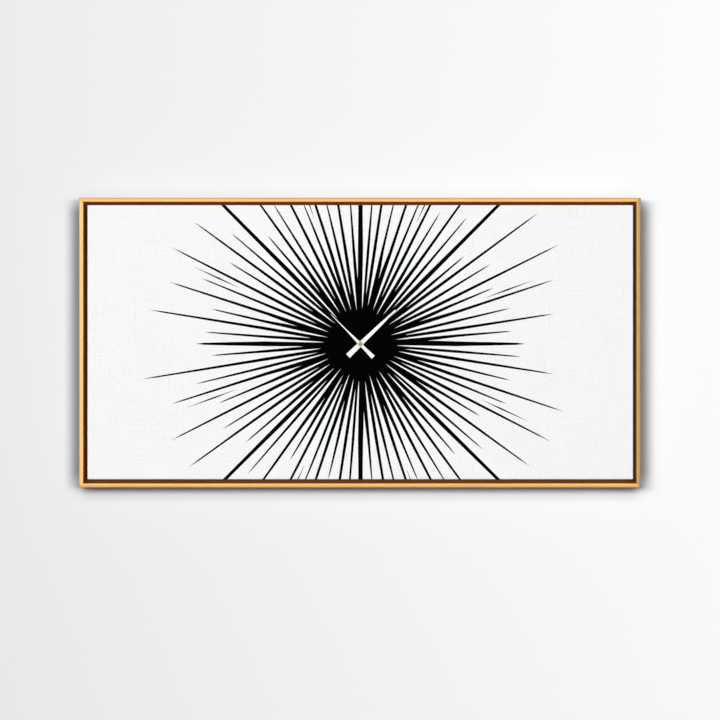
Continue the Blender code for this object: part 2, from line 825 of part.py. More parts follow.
stack(
    "coil_winding",
    [
        (
            -8.9 * MM,
            12.5 * MM,
            [
                round_rect(-3.5 * MM, 3.5 * MM, -4.2 * MM, 4.2 * MM, 1.4 * MM, 3),
                round_rect(-1.9 * MM, 1.9 * MM, -2.9 * MM, 2.9 * MM, 0.3 * MM, 1),
            ],
        )
    ],
    COPPER,
    along="X",
    at=(0, coil_y, CORE_Z),
    parent=movement,
)
stack(
    "circuit_board",
    [s(11.5, 12.5, [rect(12.5 * MM, 25.6 * MM, -9.0 * MM, 9.5 * MM)])],
    CIRCUIT,
    parent=movement,
)
stack(
    "crystal",
    [
        (-3.0 * MM, -2.7 * MM, [circle(0.8 * MM, 12)]),
        (-2.7 * MM, 2.7 * MM, [circle(1.0 * MM, 12)]),
        (2.7 * MM, 3.0 * MM, [circle(0.8 * MM, 12)]),
    ],
    CAN,
    along="Z",
    at=(22.6 * MM, -(D_PLATE - 10.2 * MM), 3.5 * MM),
    parent=movement,
)

CELL_Y = -(D_PLATE - 9.05 * MM)
CELL_Z = -19.3 * MM
stack(
    "battery",
    [
        (-24.6 * MM, -24.2 * MM, [circle(4.5 * MM, 28)]),
        (-24.2 * MM, -23.6 * MM, [circle(6.6 * MM, 28)]),
        (-23.6 * MM, 23.2 * MM, [circle(7.1 * MM, 28)]),
        (23.2 * MM, 23.8 * MM, [circle(6.6 * MM, 28)]),
        (23.8 * MM, 25.2 * MM, [circle(2.7 * MM, 28)]),
    ],
    CELL,
    along="X",
    at=(0, CELL_Y, CELL_Z),
    parent=movement,
)


def leaf(name, points):
    """A bent strip: its outline in plan, run through the depth of the battery bay."""
    stack(name, [(D_PLATE - 12.5 * MM, D_PLATE - 5.5 * MM, [[(x * MM, z * MM) for x, z in points]])], SPRING, parent=movement)


leaf(
    "contact_positive",
    [(26.4, -25.6), (26.4, -13.0), (26.0, -13.0), (26.0, -17.4), (25.5, -18.6), (25.5, -20.0), (26.0, -21.2), (26.0, -25.6)],
)
leaf(
    "contact_negative",
    [
        (-26.4, -25.6),
        (-26.0, -25.6),
        (-26.0, -21.8),
        (-24.9, -19.9),
        (-24.9, -18.7),
        (-25.5, -17.6),
        (-25.8, -17.8),
        (-25.3, -18.8),
        (-25.3, -19.8),
        (-26.0, -21.0),
        (-26.0, -13.0),
        (-26.4, -13.0),
    ],
)


# ---------------------------------------------------------------- hands
def blade(hand):
    """Tapered hand seen from the front, pointing up, widest at its squared tail."""
    ease = 0.4 * MM
    side = [(w * MM / 2, at * MM) for at, w in hand["widths"]]
    (w0, tail), (w1, tip) = side[0], side[-1]
    side = [(w0 - ease, tail), (w0, tail + ease)] + side[1:-1] + [(w1, tip - ease), (w1 - ease, tip)]
    shape = side + [(-x, z) for x, z in reversed(side)]
    a = -math.radians(hand["angle"])
    return [(x * math.cos(a) - z * math.sin(a), x * math.sin(a) + z * math.cos(a)) for x, z in shape]


collet_bore = circle(2.8 * MM, 20)
stack(
    "hour_hand",
    [
        (D_HOUR_HAND - 0.7 * MM, D_HOUR_HAND, [circle(3.35 * MM, 20), collet_bore]),
        (D_HOUR_HAND, D_HOUR_HAND + HAND_T, [blade(HOUR), collet_bore]),
    ],
    WHITE_HAND,
    parent=movement,
)
stack(
    "minute_hand",
    [(D_MINUTE_HAND, D_MINUTE_HAND + HAND_T, [blade(MINUTE), circle(1.5 * MM, 16)])],
    WHITE_HAND,
    parent=movement,
)
nut_bore = circle(1.5 * MM, 16)
stack(
    "cap_nut",
    [
        (52.0 * MM, 52.9 * MM, [circle(3.9 * MM, 20), nut_bore]),
        (52.9 * MM, 53.9 * MM, [circle(3.6 * MM, 20), nut_bore]),
        (53.9 * MM, 54.3 * MM, [circle(3.1 * MM, 20), nut_bore]),
        (54.3 * MM, 54.8 * MM, [circle(2.9 * MM, 20)]),
        (54.8 * MM, 55.3 * MM, [circle(2.1 * MM, 20)]),
        (55.3 * MM, 55.6 * MM, [circle(1.1 * MM, 20)]),
    ],
    GILT,
    parent=movement,
)
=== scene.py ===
import json
import math
import random

import bmesh
import bpy
from mathutils import Matrix, Vector
from mathutils.geometry import delaunay_2d_cdt

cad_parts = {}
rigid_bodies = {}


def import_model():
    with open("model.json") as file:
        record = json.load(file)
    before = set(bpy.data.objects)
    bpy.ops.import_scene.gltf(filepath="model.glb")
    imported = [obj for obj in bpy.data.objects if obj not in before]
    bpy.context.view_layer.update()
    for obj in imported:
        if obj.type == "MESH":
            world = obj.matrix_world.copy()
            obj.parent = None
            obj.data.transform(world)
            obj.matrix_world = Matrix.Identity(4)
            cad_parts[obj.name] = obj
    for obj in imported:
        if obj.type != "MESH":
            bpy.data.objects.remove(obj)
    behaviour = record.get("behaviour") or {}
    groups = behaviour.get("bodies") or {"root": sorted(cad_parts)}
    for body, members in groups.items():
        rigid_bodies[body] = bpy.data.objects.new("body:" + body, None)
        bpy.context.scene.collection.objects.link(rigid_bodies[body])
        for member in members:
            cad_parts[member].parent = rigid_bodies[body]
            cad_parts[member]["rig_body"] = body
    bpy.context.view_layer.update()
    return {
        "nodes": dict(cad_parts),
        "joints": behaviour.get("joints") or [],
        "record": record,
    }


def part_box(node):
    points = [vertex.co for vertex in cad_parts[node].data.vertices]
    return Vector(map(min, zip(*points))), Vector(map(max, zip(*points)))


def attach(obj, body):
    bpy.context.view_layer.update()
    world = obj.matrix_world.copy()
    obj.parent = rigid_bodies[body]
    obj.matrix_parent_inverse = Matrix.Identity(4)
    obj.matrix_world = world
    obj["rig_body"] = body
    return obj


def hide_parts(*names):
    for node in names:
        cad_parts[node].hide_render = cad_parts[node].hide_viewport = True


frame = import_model()
nodes = frame["nodes"]
BODY = "clock_body"
MM = 0.001
rng = random.Random(40)
scene = bpy.context.scene


def extent(node):
    low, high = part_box(node)
    return Vector(low), Vector(high)


# ================================================================= materials
def lin(v):
    v /= 255
    return v / 12.92 if v <= 0.04045 else ((v + 0.055) / 1.055) ** 2.4


def rgb(*c):
    return (*[lin(v) for v in c], 1.0)


class Shader:
    """One Principled material and short ways to add nodes to it."""

    def __init__(self, name, base, rough=0.5, metal=0.0, **sockets):
        self.mat = bpy.data.materials.new(name)
        self.mat.use_nodes = True
        self.tree = self.mat.node_tree
        self.bsdf = self.tree.nodes["Principled BSDF"]
        self.bsdf.inputs["Base Color"].default_value = base
        self.bsdf.inputs["Roughness"].default_value = rough
        self.bsdf.inputs["Metallic"].default_value = metal
        for key, value in sockets.items():
            self.bsdf.inputs[key.replace("_", " ")].default_value = value
        self.mat.diffuse_color = base
        self.height = None

    def node(self, kind, **props):
        n = self.tree.nodes.new(kind)
        for key, value in props.items():
            setattr(n, key, value)
        return n

    def link(self, a, b):
        self.tree.links.new(a, b)

    def coords(self, scale, uv=False, turn=(0, 0, 0)):
        tc = self.node("ShaderNodeTexCoord")
        mp = self.node("ShaderNodeMapping")
        mp.inputs["Scale"].default_value = scale
        mp.inputs["Rotation"].default_value = turn
        self.link(tc.outputs["UV" if uv else "Object"], mp.inputs["Vector"])
        return mp.outputs["Vector"]

    def noise(self, vector, scale=1.0, detail=4.0, rough=0.55, distortion=0.0):
        n = self.node("ShaderNodeTexNoise")
        n.inputs["Scale"].default_value = scale
        n.inputs["Detail"].default_value = detail
        n.inputs["Roughness"].default_value = rough
        n.inputs["Distortion"].default_value = distortion
        self.link(vector, n.inputs["Vector"])
        return n.outputs["Fac"]

    def math(self, op, a, b=None, clamp=False):
        n = self.node("ShaderNodeMath", operation=op, use_clamp=clamp)
        for i, v in enumerate((a, b)):
            if v is None:
                continue
            if isinstance(v, (int, float)):
                n.inputs[i].default_value = v
            else:
                self.link(v, n.inputs[i])
        return n.outputs[0]

    def span(self, value, low, high, to_low=0.0, to_high=1.0):
        n = self.node("ShaderNodeMapRange")
        for key, v in zip(("From Min", "From Max", "To Min", "To Max"), (low, high, to_low, to_high)):
            n.inputs[key].default_value = v
        self.link(value, n.inputs["Value"])
        return n.outputs["Result"]

    def ramp(self, value, stops):
        n = self.node("ShaderNodeValToRGB")
        el = n.color_ramp.elements
        el[0].position, el[0].color = stops[0]
        el[1].position, el[1].color = stops[-1]
        for at, colour in stops[1:-1]:
            e = el.new(at)
            e.color = colour
        self.link(value, n.inputs["Fac"])
        return n.outputs["Color"]

    def mix(self, factor, a, b, blend="MIX"):
        n = self.node("ShaderNodeMix", data_type="RGBA", blend_type=blend)
        if isinstance(factor, (int, float)):
            n.inputs[0].default_value = factor
        else:
            self.link(factor, n.inputs[0])
        for i, v in ((6, a), (7, b)):
            if isinstance(v, tuple):
                n.inputs[i].default_value = v
            else:
                self.link(v, n.inputs[i])
        return n.outputs[2]

    def colour(self, output):
        self.link(output, self.bsdf.inputs["Base Color"])

    def roughness(self, value, low, high, to_low, to_high):
        self.link(self.span(value, low, high, to_low, to_high), self.bsdf.inputs["Roughness"])

    def bump(self, value, distance, strength=1.0):
        n = self.node("ShaderNodeBump")
        n.inputs["Distance"].default_value = distance
        n.inputs["Strength"].default_value = strength
        self.link(value, n.inputs["Height"])
        if self.height:
            self.link(self.height, n.inputs["Normal"])
        self.height = n.outputs["Normal"]
        self.link(self.height, self.bsdf.inputs["Normal"])


def shade(c, f):
    return (c[0] * f, c[1] * f, c[2] * f, 1.0)


def metal(name, base, rough=0.3, spread=0.12, scratch=(600, 600, 600), metallic=1.0, dirt=0.12):
    s = Shader(name, base, rough, metallic)
    fine = s.noise(s.coords(scratch), 1.0, 5, 0.6)
    cloud = s.noise(s.coords((60, 60, 60)), 1.0, 4, 0.5)
    s.colour(s.ramp(cloud, [(0.3, shade(base, 1 - dirt)), (0.65, base)]))
    s.roughness(fine, 0.3, 0.7, rough - spread / 2, rough + spread / 2)
    s.bump(fine, 0.00002, 0.35)
    return s.mat


def plastic(name, base, rough=0.45, grain=1800, depth=0.00003, **sockets):
    s = Shader(name, base, rough, 0.0, **sockets)
    fine = s.noise(s.coords((grain, grain, grain)), 1.0, 2, 0.5)
    cloud = s.noise(s.coords((45, 45, 45)), 1.0, 3, 0.5)
    s.colour(s.ramp(cloud, [(0.3, shade(base, 0.88)), (0.7, shade(base, 1.06))]))
    s.roughness(fine, 0.3, 0.7, rough - 0.06, rough + 0.06)
    s.bump(fine, depth, 0.5)
    return s.mat


def timber(name, light, dark, along, rough=0.68, uv=False, ring=150, contrast=1.0):
    """Softwood: wide growth rings, fine fibres and pores that run along one axis."""
    s = Shader(name, light, rough)
    k = [ring, ring, ring]
    f = [2600, 2600, 2600]
    k["XYZ".index(along)] = 5
    f["XYZ".index(along)] = 60
    bands = s.noise(s.coords(tuple(k), uv), 1.0, 3, 0.45, 0.6)
    rings = s.math("PINGPONG", s.math("MULTIPLY", bands, 5.0), 0.5)
    fibre = s.noise(s.coords(tuple(f), uv), 1.0, 4, 0.65)
    tone = s.math("ADD", s.math("MULTIPLY", rings, 1.2 * contrast), s.math("MULTIPLY", fibre, 0.55))
    s.colour(s.ramp(tone, [(0.2, light), (0.62, shade(light, 0.86)), (0.95, dark)]))
    s.roughness(fibre, 0.3, 0.7, rough - 0.08, rough + 0.1)
    s.bump(fibre, 0.00012, 0.5)
    return s.mat


FACE_RUN = (0.0442, 0.0531)  # the front face's span in V, which is measured round the profile


def gold_frame(name="frame_gold", depth=1.0, blue=1.0):
    """Warm gold wash over wood: long faint grain lines, a satin sheen, and a painted highlight that darkens the face's
    outer edge and lightens it towards the inner edge. The two numbers after the name, when below 1, darken this copy as
    painted shade, and the second cuts only the blue. U runs along the rail.
    """
    base = rgb(240, 186, 120)
    s = Shader(name, base, 0.44, 0.3)
    grain = s.noise(s.coords((14, 1500, 1), True), 1.0, 5, 0.6, 0.3)
    wide = s.noise(s.coords((5, 260, 1), True), 1.0, 3, 0.5, 0.2)
    pores = s.noise(s.coords((160, 5200, 1), True), 1.0, 2, 0.6)
    tc = s.node("ShaderNodeTexCoord")
    sep = s.node("ShaderNodeSeparateXYZ")
    s.link(tc.outputs["UV"], sep.inputs[0])
    across = s.span(sep.outputs["Y"], *FACE_RUN)
    # painted highlight: across the front face the colour runs from darker at the outer edge to lighter near the inner
    # edge, where a bevel would catch the light
    face = s.ramp(across, [(0.0, rgb(226, 160, 92)), (0.3, rgb(236, 172, 102)), (0.55, rgb(236, 174, 104)), (0.8, rgb(252, 206, 138)), (1.0, rgb(250, 200, 130))])
    tone = s.math("ADD", s.math("MULTIPLY", grain, 0.6), s.math("MULTIPLY", wide, 0.4))
    # the grain's tone, scaled down as painted shade when this is a darker copy for one rail
    veil = s.ramp(tone, [(at, (c[0] * depth, c[1] * depth, c[2] * depth * blue, 1.0)) for at, c in ((0.3, rgb(226, 220, 212)), (0.5, rgb(250, 250, 250)), (0.72, rgb(255, 255, 255)))])
    s.colour(s.mix(1.0, face, veil, "MULTIPLY"))
    s.roughness(grain, 0.3, 0.7, 0.38, 0.5)
    s.bump(pores, 0.00006, 0.3)
    s.bump(grain, 0.00005, 0.3)
    return s.mat


def recess_painted_shade():
    """The same wood inside the float gap, coloured a much darker brown than the face as painted shade; most of its
    depth is also in real shade.
    """
    base = rgb(118, 66, 6)
    s = Shader("frame_recess", base, 0.6)
    grain = s.noise(s.coords((14, 1500, 1), True), 1.0, 5, 0.6, 0.3)
    s.colour(s.ramp(grain, [(0.32, rgb(98, 54, 3)), (0.68, rgb(130, 76, 9))]))
    s.bump(grain, 0.00008, 0.5)
    s.bsdf.inputs["Specular IOR Level"].default_value = 0.12
    return s.mat


WEAVE = 0.95 * MM  # centre to centre of the threads


def cloth(name, base, shadow, rough, slub=0.03, ink=False, raw=False):
    """Plain-woven canvas. The UV is the cloth laid flat, in metres."""
    s = Shader(name, base, rough)
    tc = s.node("ShaderNodeTexCoord")
    wob = s.noise(s.coords((260, 260, 260), True), 1.0, 2, 0.5)
    sep = s.node("ShaderNodeSeparateXYZ")
    s.link(tc.outputs["UV"], sep.inputs[0])
    k = math.pi / WEAVE
    shift = s.math("MULTIPLY", wob, 1.1)
    su = s.math("SINE", s.math("ADD", s.math("MULTIPLY", sep.outputs["X"], k), shift))
    sv = s.math("SINE", s.math("ADD", s.math("MULTIPLY", sep.outputs["Y"], k), shift))
    knuckle = s.math("MULTIPLY", su, sv)
    pit = s.math("MULTIPLY", s.math("ABSOLUTE", su), s.math("ABSOLUTE", sv))
    weave = s.math("ADD", s.math("MULTIPLY", knuckle, 0.35), pit)
    across = s.noise(s.coords((9, 1350, 1), True), 1.0, 3, 0.6)
    down = s.noise(s.coords((1350, 9, 1), True), 1.0, 3, 0.6)
    threads = s.math("MULTIPLY", s.math("ADD", across, down), 0.5)
    mottle = s.noise(s.coords((300, 300, 1), True), 1.0, 3, 0.6)
    cloud = s.noise(s.coords((14, 14, 1), True), 1.0, 3, 0.5)
    tone = s.math("ADD", s.math("MULTIPLY", threads, 0.47), s.math("MULTIPLY", mottle, 0.47))
    tone = s.math("ADD", tone, s.math("MULTIPLY", cloud, 0.06))
    body = s.ramp(tone, [(0.34, shade(base, 1 - slub * 1.6)), (0.5, base), (0.66, shade(base, 1 + slub * 0.5))])
    between = s.span(weave, -0.25, 0.55, 0.0, 1.0)
    s.colour(s.mix(between, shadow, body))
    s.roughness(threads, 0.35, 0.65, rough - 0.06, rough + 0.05)
    s.bump(weave, 0.00016, 0.55 if not raw else 0.9)
    s.bump(threads, 0.00012, 0.4)
    s.bsdf.inputs["Specular IOR Level"].default_value = 0.0 if ink else 0.3
    return s.mat


M = {}
M["gold"] = gold_frame()
M["gold_left"] = gold_frame("frame_gold_left", 0.89)  # the side rails take darker copies of the gold as painted shade: the left a little darker, the right to about half and warmer
M["gold_right"] = gold_frame("frame_gold_right", 0.51, 0.65)
M["recess"] = recess_painted_shade()
M["bar_x"] = timber("pine_along_x", rgb(226, 198, 150), rgb(188, 146, 92), "X")
M["bar_z"] = timber("pine_along_z", rgb(226, 198, 150), rgb(188, 146, 92), "Z")
M["rail_back"] = timber("rail_back_wood", rgb(212, 178, 128), rgb(170, 126, 76), "X", uv=True, ring=190)
M["canvas"] = cloth("canvas_white", rgb(255, 255, 255), rgb(229, 229, 230), 0.86, slub=0.13)
M["ink"] = cloth("canvas_ink", rgb(4, 6, 5), rgb(2, 3, 3), 0.75, ink=True)
M["canvas_back"] = cloth("canvas_raw", rgb(226, 219, 203), rgb(176, 166, 146), 0.92, slub=0.07, raw=True)


def hardboard():
    base = rgb(122, 86, 56)
    s = Shader("hardboard", base, 0.72)
    fleck = s.noise(s.coords((900, 900, 900)), 1.0, 5, 0.7)
    cloud = s.noise(s.coords((40, 40, 40)), 1.0, 3, 0.5)
    tone = s.math("ADD", s.math("MULTIPLY", fleck, 0.75), s.math("MULTIPLY", cloud, 0.25))
    s.colour(s.ramp(tone, [(0.34, rgb(92, 62, 38)), (0.5, base), (0.68, rgb(150, 112, 76))]))
    s.bump(fleck, 0.0001, 0.5)
    return s.mat


M["hardboard"] = hardboard()
M["zinc"] = metal("zinc_plate", rgb(192, 194, 198), 0.34, 0.16)
M["strip"] = metal("nickel_strip", rgb(206, 204, 198), 0.28, 0.1)
M["brass"] = metal("turned_brass", rgb(206, 168, 92), 0.3, 0.12, (3000, 120, 3000))
M["gilt"] = metal("cap_nut_gilt", rgb(178, 152, 40), 0.3, 0.08, (900, 900, 900), metallic=1.0, dirt=0.08)
M["black_metal"] = metal("black_oxide", rgb(16, 16, 17), 0.42, 0.14, metallic=0.4)
M["staple"] = metal("staple_wire", rgb(170, 172, 176), 0.36, 0.12)


def white_paint():
    base = rgb(246, 246, 246)
    s = Shader("hand_white", base, 0.42, 0.0, Coat_Weight=0.15, Coat_Roughness=0.3)
    peel = s.noise(s.coords((700, 700, 700)), 1.0, 2, 0.5)
    cloud = s.noise(s.coords((120, 120, 120)), 1.0, 3, 0.5)
    s.colour(s.ramp(cloud, [(0.3, rgb(241, 241, 241)), (0.7, base)]))
    s.roughness(peel, 0.3, 0.7, 0.33, 0.43)
    s.bump(peel, 0.00001, 0.4)
    return s.mat


M["white"] = white_paint()
M["rubber"] = plastic("rubber_black", rgb(24, 24, 25), 0.78, 900, 0.00005)
M["bumper"] = plastic("rubber_grey", rgb(52, 50, 49), 0.7, 700, 0.00005)
M["case"] = plastic("case_black", rgb(24, 24, 26), 0.46, 1500, 0.00004)
M["knob"] = plastic("knob_black", rgb(34, 34, 36), 0.5, 1200, 0.00004)
M["acetal"] = plastic("gear_acetal", rgb(234, 232, 224), 0.4, 900, 0.00002)
M["plate"] = plastic("gear_plate", rgb(74, 64, 54), 0.5)
M["magnet"] = plastic("magnet", rgb(72, 72, 76), 0.42)
M["lamination"] = metal("lamination", rgb(150, 151, 154), 0.38, 0.14)
M["bobbin"] = plastic("bobbin_green", rgb(60, 92, 70), 0.5)
M["circuit"] = plastic("solder_mask", rgb(32, 90, 50), 0.35)
M["can"] = metal("crystal_can", rgb(200, 200, 202), 0.22, 0.08)
M["cell"] = plastic("cell_sleeve", rgb(38, 44, 58), 0.28, 400, 0.00001, Coat_Weight=0.4, Coat_Roughness=0.15)
M["cell_band"] = metal("cell_copper", rgb(190, 122, 74), 0.26, 0.08, metallic=0.9)
M["cell_end"] = metal("cell_end", rgb(200, 200, 200), 0.25, 0.1)


def copper():
    """Fine enamelled wire laid side by side; the turns run round X. The colour is darkened in the grooves between turns
    as painted shade.
    """
    base = rgb(176, 92, 46)
    s = Shader("copper_winding", base, 0.32, 0.8)
    tc = s.node("ShaderNodeTexCoord")
    sep = s.node("ShaderNodeSeparateXYZ")
    s.link(tc.outputs["Object"], sep.inputs[0])
    turns = s.math("SINE", s.math("MULTIPLY", sep.outputs["X"], 2 * math.pi / 0.0002))
    # painted shade: the colour falls to 0.6 of the base where the turns' bump is lowest, in the grooves between wires
    s.colour(s.ramp(s.span(turns, -1, 1), [(0.1, shade(base, 0.6)), (0.7, base)]))
    s.bump(turns, 0.00005, 0.6)
    return s.mat


M["copper"] = copper()

BY_SLOT = {
    "gold_frame": "gold", "pine": "bar_z", "hardboard": "hardboard", "canvas_print": "canvas",
    "zinc_steel": "zinc", "contact_steel": "strip", "brass": "brass", "cap_nut_gold": "gilt",
    "black_metal": "black_metal", "white_hand": "white", "black_rubber": "rubber",
    "bumper_rubber": "bumper", "case_plastic": "case", "gear_acetal": "acetal",
    "gear_plate_plastic": "plate", "magnet": "magnet", "lamination": "lamination",
    "bobbin_plastic": "bobbin", "enamelled_copper": "copper", "circuit_board": "circuit",
    "crystal_can": "can", "battery_sleeve": "cell", "knob_plastic": "knob",
}
SLOT_OF = {p["node"]: p["material_slot"] for p in frame["record"]["subparts"]}
for name, obj in nodes.items():
    key = BY_SLOT[SLOT_OF[name]]
    if not obj.data.materials:
        obj.data.materials.append(M[key])
    for i in range(len(obj.material_slots)):
        obj.material_slots[i].material = M[key]


# ================================================================= mesh helpers
def body_of(node):
    return nodes[node]["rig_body"]


def piece(name, bm, mats, node=None, body=None, smooth=35, merge=True):
    """Turns a bmesh into a piece that rides on a body and, where node is given, stands for that CAD node."""
    if merge:
        bmesh.ops.remove_doubles(bm, verts=bm.verts, dist=1e-7)
    mesh = bpy.data.meshes.new(name)
    bm.to_mesh(mesh)
    bm.free()
    if smooth:
        mesh.shade_smooth()
        mesh.set_sharp_from_angle(angle=math.radians(smooth))
    for m in mats:
        mesh.materials.append(M[m] if isinstance(m, str) else m)
    obj = bpy.data.objects.new(name, mesh)
    scene.collection.objects.link(obj)
    first = node[0] if isinstance(node, (list, tuple)) else node
    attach(obj, body or (body_of(first) if first else BODY))
    if node:
        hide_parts(*([node] if isinstance(node, str) else node))
    return obj


def bevel(obj, width, segments=3, angle=32):
    mod = obj.modifiers.new("edge", "BEVEL")
    mod.width = width
    mod.segments = segments
    mod.limit_method = "ANGLE"
    mod.angle_limit = math.radians(angle)
    mod.harden_normals = False
    return obj


def refined(name, node, mat, width, segments=3, angle=32):
    """A CAD solid with its triangles joined into flats and its edges rounded."""
    bm = bmesh.new()
    bm.from_mesh(nodes[node].data)
    bmesh.ops.remove_doubles(bm, verts=bm.verts, dist=2e-6)
    bmesh.ops.dissolve_limit(bm, angle_limit=math.radians(0.8), verts=bm.verts, edges=bm.edges)
    for f in bm.faces:
        f.material_index = 0
    return bevel(piece(name, bm, [mat], node, smooth=30), width, segments, angle)


def ring_verts(bm, r, n, y, centre=(0, 0), phase=0.0):
    return [
        bm.verts.new((centre[0] + r * math.cos(phase + 2 * math.pi * i / n), y, centre[1] + r * math.sin(phase + 2 * math.pi * i / n)))
        for i in range(n)
    ]


def lathe(profile, n=48, centre=(0, 0), axis="Y", closed=False, groups=None):
    """Turns (radius, position along the axis) points; a radius of 0 closes the end. Y by default."""
    bm = bmesh.new()
    rows = []
    for r, h in profile:
        if r < 1e-9:
            p = [(0.0, 0.0)]
        else:
            p = [(r * math.cos(2 * math.pi * i / n), r * math.sin(2 * math.pi * i / n)) for i in range(n)]
        if axis == "Y":
            rows.append([bm.verts.new((centre[0] + a, h, centre[1] + b)) for a, b in p])
        elif axis == "X":
            rows.append([bm.verts.new((h, centre[0] + a, centre[1] + b)) for a, b in p])
        else:
            rows.append([bm.verts.new((centre[0] + a, centre[1] + b, h)) for a, b in p])
    pairs = list(zip(range(len(rows)), range(1, len(rows))))
    if closed:
        pairs.append((len(rows) - 1, 0))
    for k, (i, j) in enumerate(pairs):
        a, b = rows[i], rows[j]
        made = []
        for s in range(n):
            t = (s + 1) % n
            if len(a) == 1 and len(b) == 1:
                continue
            if len(a) == 1:
                made.append(bm.faces.new([a[0], b[t], b[s]]))
            elif len(b) == 1:
                made.append(bm.faces.new([a[s], a[t], b[0]]))
            else:
                made.append(bm.faces.new([a[s], a[t], b[t], b[s]]))
        for f in made:
            f.material_index = groups[k] if groups else 0
    bmesh.ops.recalc_face_normals(bm, faces=bm.faces)
    return bm


# ================================================================= the frame's rails
f_low = Vector((1e9,) * 3)
f_high = Vector((-1e9,) * 3)
for side in ("top", "bottom", "left", "right"):
    lo, hi = extent(f"frame_{side}_rail")
    f_low = Vector(map(min, f_low, lo))
    f_high = Vector(map(max, f_high, hi))
# the solids' ends stop 0.2 mm short of each corner, so the sides' own faces give the outline
f_low.x = extent("frame_left_rail")[0].x
f_high.x = extent("frame_right_rail")[1].x
f_low.z = extent("frame_bottom_rail")[0].z
f_high.z = extent("frame_top_rail")[1].z
FW, FH = f_high.x - f_low.x, f_high.z - f_low.z
FC = ((f_low.x + f_high.x) / 2, (f_low.z + f_high.z) / 2)
d_back, d_front = -f_high.y, -f_low.y
FACE, LEDGE, REACH = 7.5 * MM, 12.0 * MM, 27.5 * MM


def arc(cx, cd, r, a0, a1, n):
    return [(cx + r * math.cos(math.radians(a0 + (a1 - a0) * i / n)), cd + r * math.sin(math.radians(a0 + (a1 - a0) * i / n))) for i in range(n + 1)]


def rail_profile():
    """(inset from the outer edge, depth from the wall, finish of the span that follows): 0 gold, 1 recess, 2 raw back."""
    out = []

    def add(points, finish):
        for p in points:
            out.append((p[0], p[1], finish))

    r_out, r_in, crown = 1.1 * MM, 0.9 * MM, 0.5 * MM
    face = d_front - crown
    add(arc(1.2 * MM, d_back + 1.2 * MM, 1.2 * MM, 270, 180, 4), 0)
    add(arc(r_out, face - r_out, r_out, 180, 96, 6), 0)
    # the face rises gently from its outer edge, then a narrow bead falls to the gap
    x0, x1, peak = r_out * 0.9, FACE - r_in * 0.9, FACE * 0.66
    for i in range(1, 9):
        t = i / 9
        add([(x0 + (peak - x0) * t, face + crown * math.sin(t * math.pi / 2) ** 1.2)], 0)
    for i in range(0, 5):
        t = i / 5
        add([(peak + (x1 - peak) * t, face + crown * (1 - t ** 2))], 0)
    add(arc(FACE - r_in, face - r_in, r_in, 84, 20, 5), 0)
    add([(FACE, face - r_in - 0.2 * MM)], 1)
    add(arc(FACE + 0.8 * MM, LEDGE + 0.8 * MM, 0.8 * MM, 180, 270, 4), 1)
    add(arc(REACH - 0.6 * MM, LEDGE - 0.6 * MM, 0.6 * MM, 90, 0, 3), 1)
    add(arc(REACH - 0.6 * MM, d_back + 0.6 * MM, 0.6 * MM, 0, -90, 3), 2)
    return out


def rail(side):
    profile = rail_profile()
    bm = bmesh.new()
    uv = bm.loops.layers.uv.new("UVMap")
    run, across = 0.0, []
    for i, (t, d, _) in enumerate(profile):
        if i:
            run += math.dist((t, d), profile[i - 1][:2])
        across.append(run)
    gap = 0.1 * MM
    lips = [(-1, gap, 0.5 * MM), (-1, gap + 0.42 * MM, 0)]
    marks = lips + [(-1 + 2 * k / 8, gap, 0) for k in range(1, 8)] + [(1, g, drop) for _, g, drop in lips[::-1]]
    stations = len(marks)
    rings = []
    for f, gap, drop in marks:
        row = []
        for t, d, _ in profile:
            d -= drop * (d > d_front - 3 * MM)  # the mitre is a hair-fine V on the face
            if side in ("top", "bottom"):
                x = f * (FW / 2 - t - gap)
                z = (FH / 2 - t) * (1 if side == "top" else -1)
                along = x
            else:
                z = f * (FH / 2 - t - gap)
                x = (FW / 2 - t) * (1 if side == "right" else -1)
                along = z
            row.append((bm.verts.new((FC[0] + x, -d, FC[1] + z)), along))
        rings.append(row)
    n = len(profile)
    seed = {"top": 0.0, "bottom": 3.7, "left": 7.9, "right": 12.3}[side]
    for k in range(stations - 1):
        a, b = rings[k], rings[k + 1]
        for i in range(n):
            j = (i + 1) % n
            f = bm.faces.new([a[i][0], a[j][0], b[j][0], b[i][0]])
            f.material_index = profile[i][2]
            vj = across[j] if j else across[-1] + math.dist(profile[-1][:2], profile[0][:2])
            for loop, u, v in zip(f.loops, (a[i][1], a[j][1], b[j][1], b[i][1]), (across[i], vj, vj, across[i])):
                loop[uv].uv = (u + seed, v)
    for row in (rings[0], rings[-1]):
        f = bm.faces.new([v for v, _ in row])
        f.material_index = 2
        for loop in f.loops:
            co = loop.vert.co
            loop[uv].uv = (co.y + seed, co.x + co.z)
    bmesh.ops.recalc_face_normals(bm, faces=bm.faces)
    # the left and right rails wear the copies of the gold that are darkened as painted shade
    return piece(f"frame_rail_{side}", bm, [{"left": "gold_left", "right": "gold_right"}.get(side, "gold"), "recess", "rail_back"], f"frame_{side}_rail", smooth=28)


for side in ("top", "bottom", "left", "right"):
    rail(side).visible_diffuse = False  # keeps the gold's glow off the white wall

# ================================================================= sunburst print
# A plain sunburst made by rule: a tapered ray about every 4.5 degrees, long and short in turn, with a seeded drift.
UNIT = 1.855  # mm
BURST = (0.5 * MM, 0.55 * MM)  # centre of the print from the hand axis
RING = 96.0  # the rays have all parted from the black middle here
RAY_COUNT = 80


def polar(r, degrees, off=0.0):
    a = math.radians(degrees)
    x, z = math.sin(a), math.cos(a)
    return (r * x + off * z, r * z - off * x)


